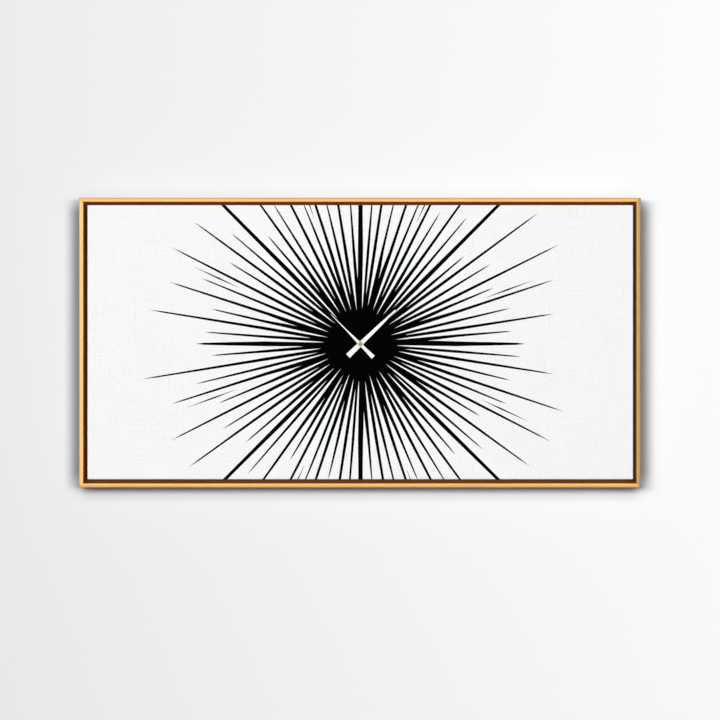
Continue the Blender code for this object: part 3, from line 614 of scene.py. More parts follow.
def burst_rays():
    """(direction clockwise from the top, tip radius, width at RING) of each ray."""
    rng = random.Random(12)
    out = []
    for i in range(RAY_COUNT):
        drift, stretch = rng.uniform(-0.45, 0.45), rng.uniform(0.93, 1.07)
        if i % 40 == 0:
            drift, tip, width = 0.0, 240.0, 5.2
        elif i % 40 == 20:
            drift, tip, width = 0.0, 163.0, 4.8
        elif i % 20 == 10:
            tip, width = 290.0, 4.4
        elif i % 2 == 0:
            tip, width = 207.0 * stretch, 3.1
        else:
            tip, width = (160.0 if i % 4 == 1 else 144.0) * stretch, 2.7
        out.append((i * 360.0 / RAY_COUNT + drift, tip, width))
    return out


def core_polygon(rays):
    """The solid black middle out to RING, with a white opening cut in between each two rays."""
    rng = random.Random(5)
    out = []
    for i, (a, _, w) in enumerate(rays):
        b, _, v = rays[(i + 1) % len(rays)]
        if b < a:
            b += 360.0
        low, high = a + math.degrees(w / 2 / RING), b - math.degrees(v / 2 / RING)
        middle = (low + high) / 2
        tip = (34.0, 47.0, 36.0, 62.0)[i % 4] * rng.uniform(0.92, 1.1)
        near = 0.5
        out += [
            polar(RING, low), polar(tip + 9, middle, -near), polar(tip, middle), polar(tip + 9, middle, near),
            polar(RING, high),
        ]
    return out


def ray_polygon(ray):
    """One ray from RING out to its tip."""
    a, tip, w = ray
    left, right = [polar(RING, a - math.degrees(w / 2 / RING))], [polar(RING, a + math.degrees(w / 2 / RING))]
    for share, part in ((0.2, 0.86), (0.5, 0.72), (0.9, 0.44)):
        r = RING + (tip - RING) * share
        left.append(polar(r, a, -w * part / 2))
        right.append(polar(r, a, w * part / 2))
    return left + [polar(tip + 2, a)] + right[::-1]


def stroke_polygon(angle, r0, r1, w):
    """A short fine stroke that stands off the middle."""
    mid = r0 + (r1 - r0) * 0.45
    return [polar(r0, angle), polar(mid, angle, -w / 2), polar(r1, angle), polar(mid, angle, w / 2)]


def burst_polygons():
    """Closed outlines of the print in millimetres, from the canvas's own centre."""
    rays = burst_rays()
    shapes = [ray_polygon(ray) for ray in rays]
    shapes += [stroke_polygon(24.8 + 45 * k, 132, 186, 1.6) for k in range(8)]
    shapes.append(core_polygon(rays))
    dx, dz = (BURST[0] - CC[0]) / MM, (BURST[1] - CC[1]) / MM
    return [[(x * UNIT + dx, z * UNIT + dz) for x, z in s] for s in shapes]


# ================================================================= the canvas
c_low, c_high = extent("canvas")
CW, CH = c_high.x - c_low.x, c_high.z - c_low.z
CC = ((c_low.x + c_high.x) / 2, (c_low.z + c_high.z) / 2)
c_front, c_back = -c_low.y, -c_high.y
WRAP = 1.9 * MM  # radius of the cloth over the bar's edge
TURN = 25.8 * MM  # cloth folded over the back
CLOTH_T = 0.6 * MM


def canvas():
    a, b = (CW / 2 - WRAP) / MM, (CH / 2 - WRAP) / MM
    arc_len = WRAP * math.pi / 2 / MM

    def offset(r, n=10):
        if r <= 0:
            return [(-a, -b), (a, -b), (a, b), (-a, b)]
        out = []
        for sx, sz, start in ((1, -1, -90), (1, 1, 0), (-1, 1, 90), (-1, -1, 180)):
            for i in range(n + 1):
                t = math.radians(start + 90 * i / n)
                out.append((sx * a + r * math.cos(t), sz * b + r * math.sin(t)))
        return out

    points, faces = [], []

    def add(loop):
        area = sum(p[0] * q[1] - q[0] * p[1] for p, q in zip(loop, loop[1:] + loop[:1]))
        if area < 0:
            loop = loop[::-1]
        first = len(points)
        points.extend(Vector(p) for p in loop)
        faces.append(list(range(first, len(points))))
        return len(faces) - 1

    domain = add(offset(arc_len))
    for k in range(6):
        add(offset(arc_len * k / 6))
    hx, hz = -CC[0] / MM, -CC[1] / MM
    hole = add([(hx + 4.3 * math.cos(2 * math.pi * i / 40), hz + 4.3 * math.sin(2 * math.pi * i / 40)) for i in range(40)])
    inked = {add(s) for s in burst_polygons()}
    # a coarse net keeps the open cloth from being a few very long triangles
    step = 24.0
    net = []
    for i in range(int(-a // step) + 1, int(a // step) + 1):
        for j in range(int(-b // step) + 1, int(b // step) + 1):
            net.append(Vector((i * step + 0.13, j * step + 0.17)))
    points.extend(net)
    verts, _, tris, _, _, origin = delaunay_2d_cdt(points, [], faces, 0, 1e-4)
    bm = bmesh.new()
    uv = bm.loops.layers.uv.new("UVMap")
    made = {}
    flat = {}

    def bend(p):
        x, z = p
        du, dv = max(abs(x) - a, 0.0), max(abs(z) - b, 0.0)
        r = math.hypot(du, dv)
        if r < 1e-9:
            return Vector((CC[0] + x * MM, -c_front, CC[1] + z * MM))
        t = r * MM / WRAP
        out = WRAP * math.sin(t)
        return Vector((
            CC[0] + math.copysign(min(abs(x), a) * MM + out * du / r, x),
            -c_front + WRAP * (1 - math.cos(t)),
            CC[1] + math.copysign(min(abs(z), b) * MM + out * dv / r, z),
        ))

    for tri, owners in zip(tris, origin):
        if domain not in owners or hole in owners:
            continue
        corner = []
        for i in tri:
            if i not in made:
                made[i] = bm.verts.new(bend(verts[i]))
                flat[made[i]] = (verts[i].x * MM, verts[i].y * MM)
            corner.append(made[i])
        try:
            f = bm.faces.new(corner)
        except ValueError:
            continue
        f.material_index = 1 if inked.intersection(owners) else 0
    bm.verts.ensure_lookup_table()
    # outer edge of the front, then down the sides and over the back
    edge = [e for e in bm.edges if len(e.link_faces) == 1 and max(abs(e.verts[0].co.x - CC[0]) - CW / 2, abs(e.verts[0].co.z - CC[1]) - CH / 2) > -WRAP * 1.5]
    along = {}
    for e in edge:
        for v in e.verts:
            along.setdefault(v, []).append(e)
    start = edge[0].verts[0]
    order, at, came = [start], start, None
    while True:
        nxt = next(e for e in along[at] if e is not came)
        came = nxt
        at = nxt.other_vert(at)
        if at is start:
            break
        order.append(at)
    rows = []
    depth0 = c_front - WRAP
    depth1 = c_back + WRAP
    for k in range(1, 5):
        rows.append((depth0 + (depth1 - depth0) * k / 4, 0.0, (depth0 - depth1) * k / 4))
    for k in range(1, 6):
        t = math.radians(90 * k / 5)
        rows.append((c_back + WRAP * (1 - math.sin(t)), WRAP * (1 - math.cos(t)), depth0 - depth1 + WRAP * t))
    for q in (7 * MM, 13 * MM, 19 * MM, 23 * MM, TURN):
        rows.append((c_back, q, depth0 - depth1 + WRAP * math.pi / 2 + q - WRAP))
    outward = {}
    for v in order:
        x, z = flat[v]
        nx, nz = (x / MM) - math.copysign(min(abs(x / MM), a), x), (z / MM) - math.copysign(min(abs(z / MM), b), z)
        r = math.hypot(nx, nz) or 1.0
        outward[v] = (nx / r, nz / r)
    previous = order
    for depth, q, path in rows:
        row = []
        for v in order:
            x, z = v.co.x - CC[0], v.co.z - CC[1]
            wave = 0.0
            if q > 6 * MM:
                wave = 0.10 * MM * (math.sin(x * 61 + z * 47) + math.sin(x * 23 - z * 91 + 1.3))
                wave = max(wave, 0.0)
            n = bm.verts.new((CC[0] + x * (1 - q / (CW / 2)), -(depth + wave), CC[1] + z * (1 - q / (CH / 2))))
            flat[n] = (flat[v][0] + outward[v][0] * path, flat[v][1] + outward[v][1] * path)
            row.append(n)
        for i in range(len(order)):
            j = (i + 1) % len(order)
            f = bm.faces.new([previous[i], previous[j], row[j], row[i]])
            f.material_index = 0
        previous = row
    bmesh.ops.recalc_face_normals(bm, faces=bm.faces)
    front = [f for f in bm.faces if abs(f.calc_center_median().y + c_front) < 1e-6]
    if sum(f.normal.y for f in front[:20]) > 0:
        bmesh.ops.reverse_faces(bm, faces=bm.faces)
    for f in bm.faces:
        for loop in f.loops:
            loop[uv].uv = flat[loop.vert]
    obj = piece("canvas_cloth", bm, ["canvas", "ink", "canvas_back", "canvas_back"], "canvas", merge=False, smooth=40)
    mod = obj.modifiers.new("thickness", "SOLIDIFY")
    mod.thickness = CLOTH_T
    mod.offset = -1
    mod.material_offset = 2
    mod.material_offset_rim = 2
    mod.use_even_offset = False
    return obj


canvas_obj = canvas()


def corner_folds():
    """The cloth's folded corners on the back, each a second layer lying across the mitre."""
    bm = bmesh.new()
    uv = bm.loops.layers.uv.new("UVMap")
    for sx in (-1, 1):
        for sz in (-1, 1):
            outline = [(14.2, 14.2), (25.6, 25.2), (25.9, 17.6), (17.2, 14.2)]
            steps = 6
            top, low = [], []
            for u, v in outline:
                x = CC[0] + sx * (CW / 2 - u * MM)
                z = CC[1] + sz * (CH / 2 - v * MM)
                top.append(bm.verts.new((x, -(c_back - 0.75 * MM), z)))
                low.append(bm.verts.new((x, -(c_back + 0.1 * MM), z)))
            fs = [bm.faces.new(top), bm.faces.new(low[::-1])]
            for i in range(4):
                j = (i + 1) % 4
                fs.append(bm.faces.new([top[i], low[i], low[j], top[j]]))
            for f in fs:
                for loop in f.loops:
                    loop[uv].uv = (loop.vert.co.x, loop.vert.co.z + loop.vert.co.y)
    bmesh.ops.recalc_face_normals(bm, faces=bm.faces)
    return bevel(piece("canvas_corner_folds", bm, ["canvas"]), 0.25 * MM, 2)


corner_folds()


def staples():
    """Wire staples through the folded cloth into the bars: a flat crown with rounded shoulders."""
    bm = bmesh.new()
    inset = 19.5 * MM
    spots = []
    n_long, n_short = 19, 9
    for sz in (-1, 1):
        for i in range(n_long):
            x = -CW / 2 + 60 * MM + (CW - 120 * MM) * i / (n_long - 1)
            spots.append((CC[0] + x + rng.uniform(-4, 4) * MM, CC[1] + sz * (CH / 2 - inset + rng.uniform(-1.2, 1.2) * MM), rng.uniform(-9, 9)))
    for sx in (-1, 1):
        for i in range(n_short):
            z = -CH / 2 + 55 * MM + (CH - 110 * MM) * i / (n_short - 1)
            spots.append((CC[0] + sx * (CW / 2 - inset + rng.uniform(-1.2, 1.2) * MM), CC[1] + z + rng.uniform(-4, 4) * MM, 90 + rng.uniform(-9, 9)))
    half, thick, wide = 5.0 * MM, 0.28 * MM, 0.6 * MM
    path = [(-half, -1.6 * MM), (-half, -0.2 * MM), (-half + 0.25 * MM, 0.22 * MM), (-half + 0.9 * MM, 0.34 * MM), (0, 0.38 * MM),
            (half - 0.9 * MM, 0.34 * MM), (half - 0.25 * MM, 0.22 * MM), (half, -0.2 * MM), (half, -1.6 * MM)]
    for x, z, turn in spots:
        m = Matrix.Translation((x, -c_back, z)) @ Matrix.Rotation(math.radians(turn), 4, "Y")
        rows = []
        for i, (u, h) in enumerate(path):
            p0 = path[max(i - 1, 0)]
            p1 = path[min(i + 1, len(path) - 1)]
            t = Vector((p1[0] - p0[0], p1[1] - p0[1])).normalized()
            nrm = Vector((-t.y, t.x))
            row = []
            for s, w in ((0, -wide), (thick * 2, -wide * 0.7), (thick * 2, wide * 0.7), (0, wide)):
                row.append(bm.verts.new(m @ Vector((u + nrm.x * (s - thick), h + nrm.y * (s - thick), w))))
            rows.append(row)
        for a, b in zip(rows, rows[1:]):
            for i in range(4):
                j = (i + 1) % 4
                bm.faces.new([a[i], a[j], b[j], b[i]])
        bm.faces.new(rows[0])
        bm.faces.new(rows[-1])
    bmesh.ops.recalc_face_normals(bm, faces=bm.faces)
    return piece("canvas_staples", bm, ["staple"], smooth=50)


staples()

# ================================================================= stretcher, braces, board
for side, along in (("top", "bar_x"), ("bottom", "bar_x"), ("left", "bar_z"), ("right", "bar_z")):
    refined(f"stretcher_bar_{side}", f"stretcher_{side}", along, 0.8 * MM)
for side in ("left", "right"):
    refined(f"cross_brace_{side}", f"brace_{side}", "bar_z", 1.2 * MM)
refined("hardboard_panel", "movement_board", "hardboard", 0.35 * MM)


# ================================================================= screws
def cross_screw(name, node, centre, r, seat, top, turn, shank_node_low):
    """Pan head with a moulded cross recess; seat and top are depths in front of the wall."""
    bm = bmesh.new()
    n = 48
    rise = seat - top
    turn = math.radians(turn)
    rows = []

    def recess(rad, ang, level):
        """Depth of the cross recess at a point of the head."""
        x, z = rad * math.cos(ang - turn), rad * math.sin(ang - turn)
        arm = r * 0.56
        w = r * 0.15
        inside = max(min(arm - abs(x), w - abs(z)), min(arm - abs(z), w - abs(x)))
        if inside <= 0:
            return 0.0
        return min(inside * 2.2, rise * 0.55 * (1 - 0.5 * rad / arm))

    radii = [r * k / 22 for k in range(1, 20)]
    centre_v = bm.verts.new((centre[0], -(top + rise * 0.55), centre[1]))
    previous = None
    for rad in radii:
        row = []
        for i in range(n):
            a = 2 * math.pi * i / n
            crown = rise * 0.30 * (rad / r) ** 2
            row.append(bm.verts.new((centre[0] + rad * math.cos(a), -(top + crown + recess(rad, a, 0)), centre[1] + rad * math.sin(a))))
        if previous is None:
            for i in range(n):
                bm.faces.new([centre_v, row[(i + 1) % n], row[i]])
        else:
            for i in range(n):
                j = (i + 1) % n
                bm.faces.new([previous[i], previous[j], row[j], row[i]])
        previous = row
    for rad, depth in ((r * 0.95, top + rise * 0.36), (r * 0.985, top + rise * 0.5), (r, top + rise * 0.68), (r, seat), (r * 0.45, seat), (r * 0.45, shank_node_low - 3 * MM), (0.0003, shank_node_low)):
        row = ring_verts(bm, rad, n, -depth, centre)
        for i in range(n):
            j = (i + 1) % n
            bm.faces.new([previous[i], previous[j], row[j], row[i]])
        previous = row
    bm.faces.new(previous)
    bmesh.ops.recalc_face_normals(bm, faces=bm.faces)
    return piece(name, bm, ["zinc"], node, smooth=34)


for i, tag in enumerate(("top_left", "top_right", "bottom_left", "bottom_right", "left", "right")):
    lo, hi = extent(f"frame_screw_{tag}")
    cross_screw(f"rail_screw_{tag}", f"frame_screw_{tag}", ((lo.x + hi.x) / 2, (lo.z + hi.z) / 2), 3.6 * MM, 4.7 * MM, -hi.y, 17 + 31 * i, -lo.y)
for i, tag in enumerate(("left", "right")):
    lo, hi = extent(f"hanger_screw_{tag}")
    cross_screw(f"strap_screw_{tag}", f"hanger_screw_{tag}", ((lo.x + hi.x) / 2, (lo.z + hi.z) / 2), 3.0 * MM, 3.6 * MM, -hi.y, 40 + 25 * i, -lo.y)
    refined(f"strap_{tag}", f"hanger_strap_{tag}", "zinc", 0.12 * MM, 2, 40)


def d_ring(tag):
    """Round steel wire bent to a D: a straight bar in the strap's eye and a bow."""
    joint = next(j for j in frame["joints"] if j["name"] == f"d_ring_{tag}_swing")
    px, py, pz = joint["pos_m"]
    half, reach, corner, r = 7.4 * MM, 14.6 * MM, 2.0 * MM, 0.9 * MM
    drop = reach - half
    path = [(-half + corner + (2 * half - 2 * corner) * i / 8, 0.0) for i in range(9)]
    path += [(half - corner + corner * math.cos(math.radians(90 - 15 * i)), -corner + corner * math.sin(math.radians(90 - 15 * i))) for i in range(1, 7)]
    path += [(half, -corner - (drop - corner) * i / 4) for i in range(1, 4)]
    path += [(half * math.cos(math.pi * i / 36), -drop - half * math.sin(math.pi * i / 36)) for i in range(0, 37)]
    path += [(-half, -drop + (drop - corner) * i / 4) for i in range(1, 4)]
    path += [(-half + corner + corner * math.cos(math.radians(180 - 15 * i)), -corner + corner * math.sin(math.radians(180 - 15 * i))) for i in range(0, 6)]
    bm = bmesh.new()
    rings = []
    n = len(path)
    for i, (x, z) in enumerate(path):
        p, q = path[i - 1], path[(i + 1) % n]
        t = Vector((q[0] - p[0], 0, q[1] - p[1])).normalized()
        side = Vector((t.z, 0, -t.x))
        rings.append([bm.verts.new(Vector((px + x, py, pz + z)) + r * math.cos(2 * math.pi * k / 18) * side + r * math.sin(2 * math.pi * k / 18) * Vector((0, 1, 0))) for k in range(18)])
    for i in range(n):
        a, b = rings[i], rings[(i + 1) % n]
        for k in range(18):
            bm.faces.new([a[k], a[(k + 1) % 18], b[(k + 1) % 18], b[k]])
    bmesh.ops.recalc_face_normals(bm, faces=bm.faces)
    return piece(f"ring_{tag}", bm, ["zinc"], f"d_ring_{tag}", smooth=60)


for tag in ("left", "right"):
    d_ring(tag)
    lo, hi = extent(f"bumper_{tag}")
    c = ((lo.x + hi.x) / 2, (lo.z + hi.z) / 2)
    r, back = (hi.x - lo.x) / 2, -lo.y
    prof = [(0, -0.0001), (r * 0.55, -0.0001), (r * 0.7, 0.0), (r * 0.78, -0.0001), (r * 0.87, -0.0005), (r * 0.93, -0.0012), (r * 0.985, -0.0026), (r, -back + 0.0004), (r * 0.97, -back), (0, -back)]
    bm = lathe(prof, 56, c)
    piece(f"bumper_pad_{tag}", bm, ["bumper"], f"bumper_{tag}", smooth=40)
for t in ("top", "bottom"):
    for s in ("left", "right"):
        refined(f"mitre_nail_{t}_{s}", f"v_nail_{t}_{s}", "zinc", 0.1 * MM, 2)


# ================================================================= hands and cap nut
def tapered_hand(name, node, widths, angle, y_back, y_front, hole_r, trim):
    """Pressed flat hand: a tapered blade with softly rounded edges, drilled at the hub. Widths are (reach, width) from the tail."""
    n = 40
    a = -math.radians(angle)
    ca, sa = math.cos(a), math.sin(a)
    e = 0.4 * MM
    side = [((w - trim) * MM / 2, at * MM) for at, w in widths]
    (w0, tail), (w1, tip) = side[0], side[-1]
    side = [(w0 - e, tail), (w0 - e * 0.3, tail + e * 0.3), (w0, tail + e)] + side[1:-1] + [(w1, tip - e), (w1 - e * 0.3, tip - e * 0.3), (w1 - e, tip)]
    outline = side + [(-x, z) for x, z in reversed(side)]
    clean = []
    for p in outline:
        if not clean or math.dist(p, clean[-1]) > 1e-6:
            clean.append(p)
    if math.dist(clean[0], clean[-1]) < 1e-6:
        clean.pop()
    outline = clean
    hole = [(hole_r * math.cos(2 * math.pi * i / n), hole_r * math.sin(2 * math.pi * i / n)) for i in range(n)]
    points = [Vector((p[0] / MM, p[1] / MM)) for p in outline + hole]
    k = len(outline)
    faces = [list(range(k)), list(range(k, k + n))]
    verts, _, tris, _, _, owners = delaunay_2d_cdt(points, [], faces, 0, 1e-5)
    bm = bmesh.new()
    low, high = {}, {}

    def spot(v, y):
        x, z = v.x * MM, v.y * MM
        return (x * ca - z * sa, y, x * sa + z * ca)

    keep = [t for t, o in zip(tris, owners) if 0 in o and 1 not in o]
    for t in keep:
        for i in t:
            if i not in low:
                low[i] = bm.verts.new(spot(verts[i], y_front))
                high[i] = bm.verts.new(spot(verts[i], y_back))
        bm.faces.new([low[i] for i in t])
        bm.faces.new([high[i] for i in reversed(t)])
    bmesh.ops.dissolve_limit(bm, angle_limit=0.01, verts=bm.verts, edges=bm.edges)
    count = {}
    for t in keep:
        for i, j in zip(t, t[1:] + t[:1]):
            count[frozenset((i, j))] = count.get(frozenset((i, j)), 0) + 1
    for pair, c in count.items():
        if c == 1:
            i, j = tuple(pair)
            if low[i].is_valid and low[j].is_valid and high[i].is_valid and high[j].is_valid:
                bm.faces.new([low[i], low[j], high[j], high[i]])
    bmesh.ops.recalc_face_normals(bm, faces=bm.faces)
    obj = bevel(piece(name, bm, ["white"], node, smooth=30), 0.16 * MM, 3, 40)
    return obj


h_low, h_high = extent("hour_hand")
m_low, m_high = extent("minute_hand")
tapered_hand("minute_blade", "minute_hand", [(-31.6, 10.7), (0, 8.7), (41, 7.0), (90.9, 2.9)], 46.0, m_high.y, m_low.y, 1.5 * MM, 0.7)
tapered_hand("hour_blade", "hour_hand", [(-34.3, 9.0), (-10, 6.3), (0, 7.2), (10, 5.9), (35, 3.2), (77.0, 1.9)], 315.4, h_low.y + 0.6 * MM, h_low.y, 2.8 * MM, 1.0)
# the hour hand's collet grips the pipe behind the blade
bm = lathe([(2.8 * MM, h_low.y + 0.55 * MM), (3.35 * MM, h_low.y + 0.55 * MM), (3.35 * MM, h_high.y - 0.1 * MM), (3.2 * MM, h_high.y), (2.8 * MM, h_high.y)], 56, closed=True)
piece("hour_collet", bm, ["brass"], body=body_of("hour_hand"))

n_low, n_high = extent("cap_nut")
nut_front, nut_back, nut_r = n_low.y, n_high.y, (n_high.x - n_low.x) / 2
steps = []
for i in range(13):
    t = math.radians(90 * i / 12)
    steps.append((nut_r * 0.93 * math.sin(t) if i else 0.0, nut_front + 2.35 * MM * (1 - math.cos(t))))
steps += [
    (nut_r * 0.95, nut_front + 2.42 * MM), (nut_r * 0.99, nut_front + 2.5 * MM), (nut_r, nut_front + 2.62 * MM),
    (nut_r, nut_back - 0.25 * MM), (nut_r * 0.97, nut_back - 0.06 * MM), (nut_r * 0.93, nut_back),
    (1.7 * MM, nut_back), (1.5 * MM, nut_back - 0.2 * MM), (1.5 * MM, nut_back - 2.2 * MM), (0.0, nut_back - 2.4 * MM),
]
piece("cap_nut_dome", lathe(steps, 64), ["gilt"], "cap_nut", smooth=50)

# threaded parts seen between the canvas and the hands
refined("hex_nut", "mounting_nut", "black_metal", 0.35 * MM, 3, 40)
refined("washer_flat", "flat_washer", "black_metal", 0.12 * MM, 2, 50)


def screw_thread(name, node, mat, r, bore, start, end, pitch=0.75 * MM):
    """Threaded tube: a helical ridge between its two ends."""
    n = 40
    turns = (end - start) / pitch
    rows = int(turns * 8) + 1
    prof = []
    bm = bmesh.new()
    grid = []
    for k in range(rows + 1):
        d = start + (end - start) * k / rows
        row = []
        for i in range(n):
            phase = (d - start) / pitch - i / n
            saw = abs((phase % 1.0) - 0.5) * 2
            fade = min(1.0, (d - start) / pitch, (end - d) / pitch)
            rr = r - 0.38 * MM * (1 - saw) * max(fade, 0.0) - 0.02 * MM
            a = 2 * math.pi * i / n
            row.append(bm.verts.new((rr * math.cos(a), -d, rr * math.sin(a))))
        grid.append(row)
    inner = [ring_verts(bm, bore, n, -start), ring_verts(bm, bore, n, -end)]
    for a, b in zip(grid, grid[1:]):
        for i in range(n):
            j = (i + 1) % n
            bm.faces.new([a[i], a[j], b[j], b[i]])
    for i in range(n):
        j = (i + 1) % n
        bm.faces.new([inner[0][i], inner[0][j], inner[1][j], inner[1][i]])
        bm.faces.new([grid[0][i], grid[0][j], inner[0][j], inner[0][i]])
        bm.faces.new([grid[-1][i], grid[-1][j], inner[1][j], inner[1][i]])
    bmesh.ops.recalc_face_normals(bm, faces=bm.faces)
    return bm


b_low, b_high = extent("threaded_bush")
bm = screw_thread("bush", "threaded_bush", "brass", 4.0 * MM, 2.8 * MM, 39.4 * MM, -b_low.y)
bush = piece("bush_thread", bm, ["brass"], "threaded_bush", smooth=50)
flange = lathe([(2.8 * MM, -37.2 * MM), (4.0 * MM, -37.2 * MM), (4.0 * MM, -38.8 * MM), (6.5 * MM, -38.8 * MM), (6.5 * MM, -39.4 * MM), (2.8 * MM, -39.4 * MM)], 40, closed=True)
piece("bush_flange", flange, ["brass"], body=BODY, smooth=35)


# ================================================================= movement, seen from behind
k_low, k_high = extent("case_back")
refined("movement_case", "case_back", "case", 0.5 * MM, 3, 40)
refined("movement_front", "case_front_plate", "case", 0.3 * MM, 2, 50)
refined("sealing_washer", "rubber_washer", "rubber", 0.2 * MM, 2, 50)

case_back_y = k_high.y
s_low, s_high = extent("setting_knob")
kc = ((s_low.x + s_high.x) / 2, (s_low.z + s_high.z) / 2)


def moulded_details():
    """Marks moulded on the back of the case: a ring and a curved arrow round the knob, polarity signs and a maker-free
    panel line.
    """
    bm = bmesh.new()
    y0, y1 = case_back_y - 0.15 * MM, case_back_y + 0.35 * MM

    def block(x0, x1, z0, z1, turn=0.0, about=None):
        about = about or ((x0 + x1) / 2, (z0 + z1) / 2)
        vs = []
        for y in (y0, y1):
            for x, z in ((x0, z0), (x1, z0), (x1, z1), (x0, z1)):
                dx, dz = x - about[0], z - about[1]
                c, s = math.cos(turn), math.sin(turn)
                vs.append(bm.verts.new((about[0] + dx * c - dz * s, y, about[1] + dx * s + dz * c)))
        for q in ((0, 1, 2, 3), (4, 5, 6, 7), (0, 1, 5, 4), (1, 2, 6, 5), (2, 3, 7, 6), (3, 0, 4, 7)):
            bm.faces.new([vs[i] for i in q])

    n = 56
    rings = []
    for r, y in ((6.3 * MM, y0), (6.3 * MM, y1), (7.0 * MM, y1), (7.0 * MM, y0)):
        rings.append(ring_verts(bm, r, n, y, kc))
    for a, b in zip(rings, rings[1:] + rings[:1]):
        for i in range(n):
            j = (i + 1) % n
            bm.faces.new([a[i], a[j], b[j], b[i]])
    # plus and minus beside the cell
    block(22.0 * MM, 25.0 * MM, -9.6 * MM, -8.9 * MM)
    block(23.15 * MM, 23.85 * MM, -10.75 * MM + 0.1 * MM, -7.75 * MM)
    block(-25.0 * MM, -22.0 * MM, -9.6 * MM, -8.9 * MM)
    # raised panel line
    for x0, x1, z0, z1 in ((-2, 23, 21.4, 22.0), (-2, 23, 2.0, 2.6), (-2.6, -2.0, 2.0, 22.0), (23.0, 23.6, 2.0, 22.0)):
        block(x0 * MM, x1 * MM, z0 * MM, z1 * MM)
    # curved arrow beside the knob, drawn with short blocks
    for i in range(9):
        t = math.radians(40 + 11 * i)
        cx, cz = kc[0] + 8.6 * MM * math.cos(t), kc[1] + 8.6 * MM * math.sin(t)
        block(cx - 0.9 * MM, cx + 0.9 * MM, cz - 0.28 * MM, cz + 0.28 * MM, t + math.pi / 2)
    t = math.radians(40)
    cx, cz = kc[0] + 8.6 * MM * math.cos(t), kc[1] + 8.6 * MM * math.sin(t)
    for s in (-1, 1):
        block(cx - 0.1 * MM, cx + 1.7 * MM, cz - 0.28 * MM, cz + 0.28 * MM, t + math.pi / 2 + s * 0.7, (cx - 0.1 * MM, cz))
    bmesh.ops.recalc_face_normals(bm, faces=bm.faces)
    return bevel(piece("case_mouldings", bm, ["case"], smooth=30, merge=False), 0.12 * MM, 2)


moulded_details()


def knob():
    """Fluted setting knob with a shallow dished end."""
    bm = bmesh.new()
    flutes, per = 20, 8
    n = flutes * per

    def row(r, y, depth):
        out = []
        for i in range(n):
            a = 2 * math.pi * i / n
            rr = r - depth * (0.5 - 0.5 * math.cos(flutes * a)) ** 1.5
            out.append(bm.verts.new((kc[0] + rr * math.cos(a), y, kc[1] + rr * math.sin(a))))
        return out

    y0, y1 = s_low.y, s_high.y
    r = (s_high.x - s_low.x) / 2
    rows = [
        row(1.35 * MM, y0, 0), row(r * 0.95, y0, 0.3 * MM), row(r * 0.99, y0 + 0.1 * MM, 0.45 * MM), row(r, y0 + 0.3 * MM, 0.5 * MM),
        row(r, y1 - 0.8 * MM, 0.5 * MM), row(r * 0.985, y1 - 0.5 * MM, 0.42 * MM), row(r * 0.94, y1 - 0.2 * MM, 0.25 * MM),
        row(r * 0.86, y1 - 0.04 * MM, 0.06 * MM), row(r * 0.78, y1, 0), row(r * 0.7, y1 - 0.05 * MM, 0), row(r * 0.62, y1 - 0.35 * MM, 0), row(r * 0.3, y1 - 0.45 * MM, 0),
    ]
    inner = row(1.35 * MM, y0 + 1.5 * MM, 0)
    for a, b in zip([inner] + rows, rows):
        for i in range(n):
            j = (i + 1) % n
            bm.faces.new([a[i], a[j], b[j], b[i]])
    bm.faces.new(rows[-1])
    bm.faces.new(inner)
    bmesh.ops.recalc_face_normals(bm, faces=bm.faces)
    return piece("knob_fluted", bm, ["knob"], "setting_knob", smooth=40)


knob()

b_lo, b_hi = extent("battery")
bc = ((b_lo.y + b_hi.y) / 2, (b_lo.z + b_hi.z) / 2)
br = (b_hi.z - b_lo.z) / 2


def cell():
    x0, x1 = b_lo.x, b_hi.x
    shell0, shell1 = x0 + 0.35 * MM, x1 - 1.4 * MM
    prof = [(0, x0 + 0.1 * MM), (4.2 * MM, x0 + 0.1 * MM), (4.5 * MM, x0 + 0.25 * MM), (4.9 * MM, shell0 + 0.25 * MM), (6.1 * MM, shell0 + 0.25 * MM),
            (6.2 * MM, shell0), (br - 0.35 * MM, shell0), (br - 0.1 * MM, shell0 + 0.12 * MM), (br, shell0 + 0.4 * MM),
            (br, shell0 + 11.6 * MM), (br, shell0 + 11.9 * MM), (br, shell1 - 0.4 * MM), (br - 0.1 * MM, shell1 - 0.12 * MM), (br - 0.35 * MM, shell1), (6.0 * MM, shell1),
            (5.9 * MM, shell1 - 0.25 * MM), (3.3 * MM, shell1 - 0.25 * MM), (3.0 * MM, shell1 - 0.1 * MM), (2.75 * MM, shell1 + 0.1 * MM), (2.7 * MM, x1 - 0.35 * MM), (2.45 * MM, x1 - 0.08 * MM), (2.1 * MM, x1), (0, x1)]
    groups = [2, 2, 2, 2, 2, 0, 0, 0, 0, 0, 1, 1, 1, 1, 2, 2, 2, 2, 2, 2, 2, 2]
    bm = lathe(prof, 72, bc, "X", groups=groups)
    return piece("cell_aa", bm, ["cell", "cell_band", "cell_end"], "battery", smooth=40)


cell()

# ================================================================= camera
VIEW_PX = 1.855 * MM  # one pixel at the clock's face
WIDTH = 720 * VIEW_PX
LENS, SENSOR = 135.0, 36.0
cam_data = bpy.data.cameras.new("camera")
cam_data.lens = LENS
cam_data.sensor_width = SENSOR
cam_data.clip_start = 0.05
cam_data.clip_end = 200
cam = bpy.data.objects.new("camera", cam_data)
scene.collection.objects.link(cam)
plane_y = -48.5 * MM
distance = WIDTH / (SENSOR / LENS)
cam.location = (-0.45 * MM, plane_y - distance, -29.5 * MM)
cam.rotation_euler = (math.radians(90), 0, 0)
scene.camera = cam


# ================================================================= stage and light
def plane(name, corners, mat):
    bm = bmesh.new()
    bm.faces.new([bm.verts.new(c) for c in corners])
    mesh = bpy.data.meshes.new(name)
    bm.to_mesh(mesh)
    bm.free()
    mesh.materials.append(mat)
    obj = bpy.data.objects.new(name, mesh)
    scene.collection.objects.link(obj)
    return obj


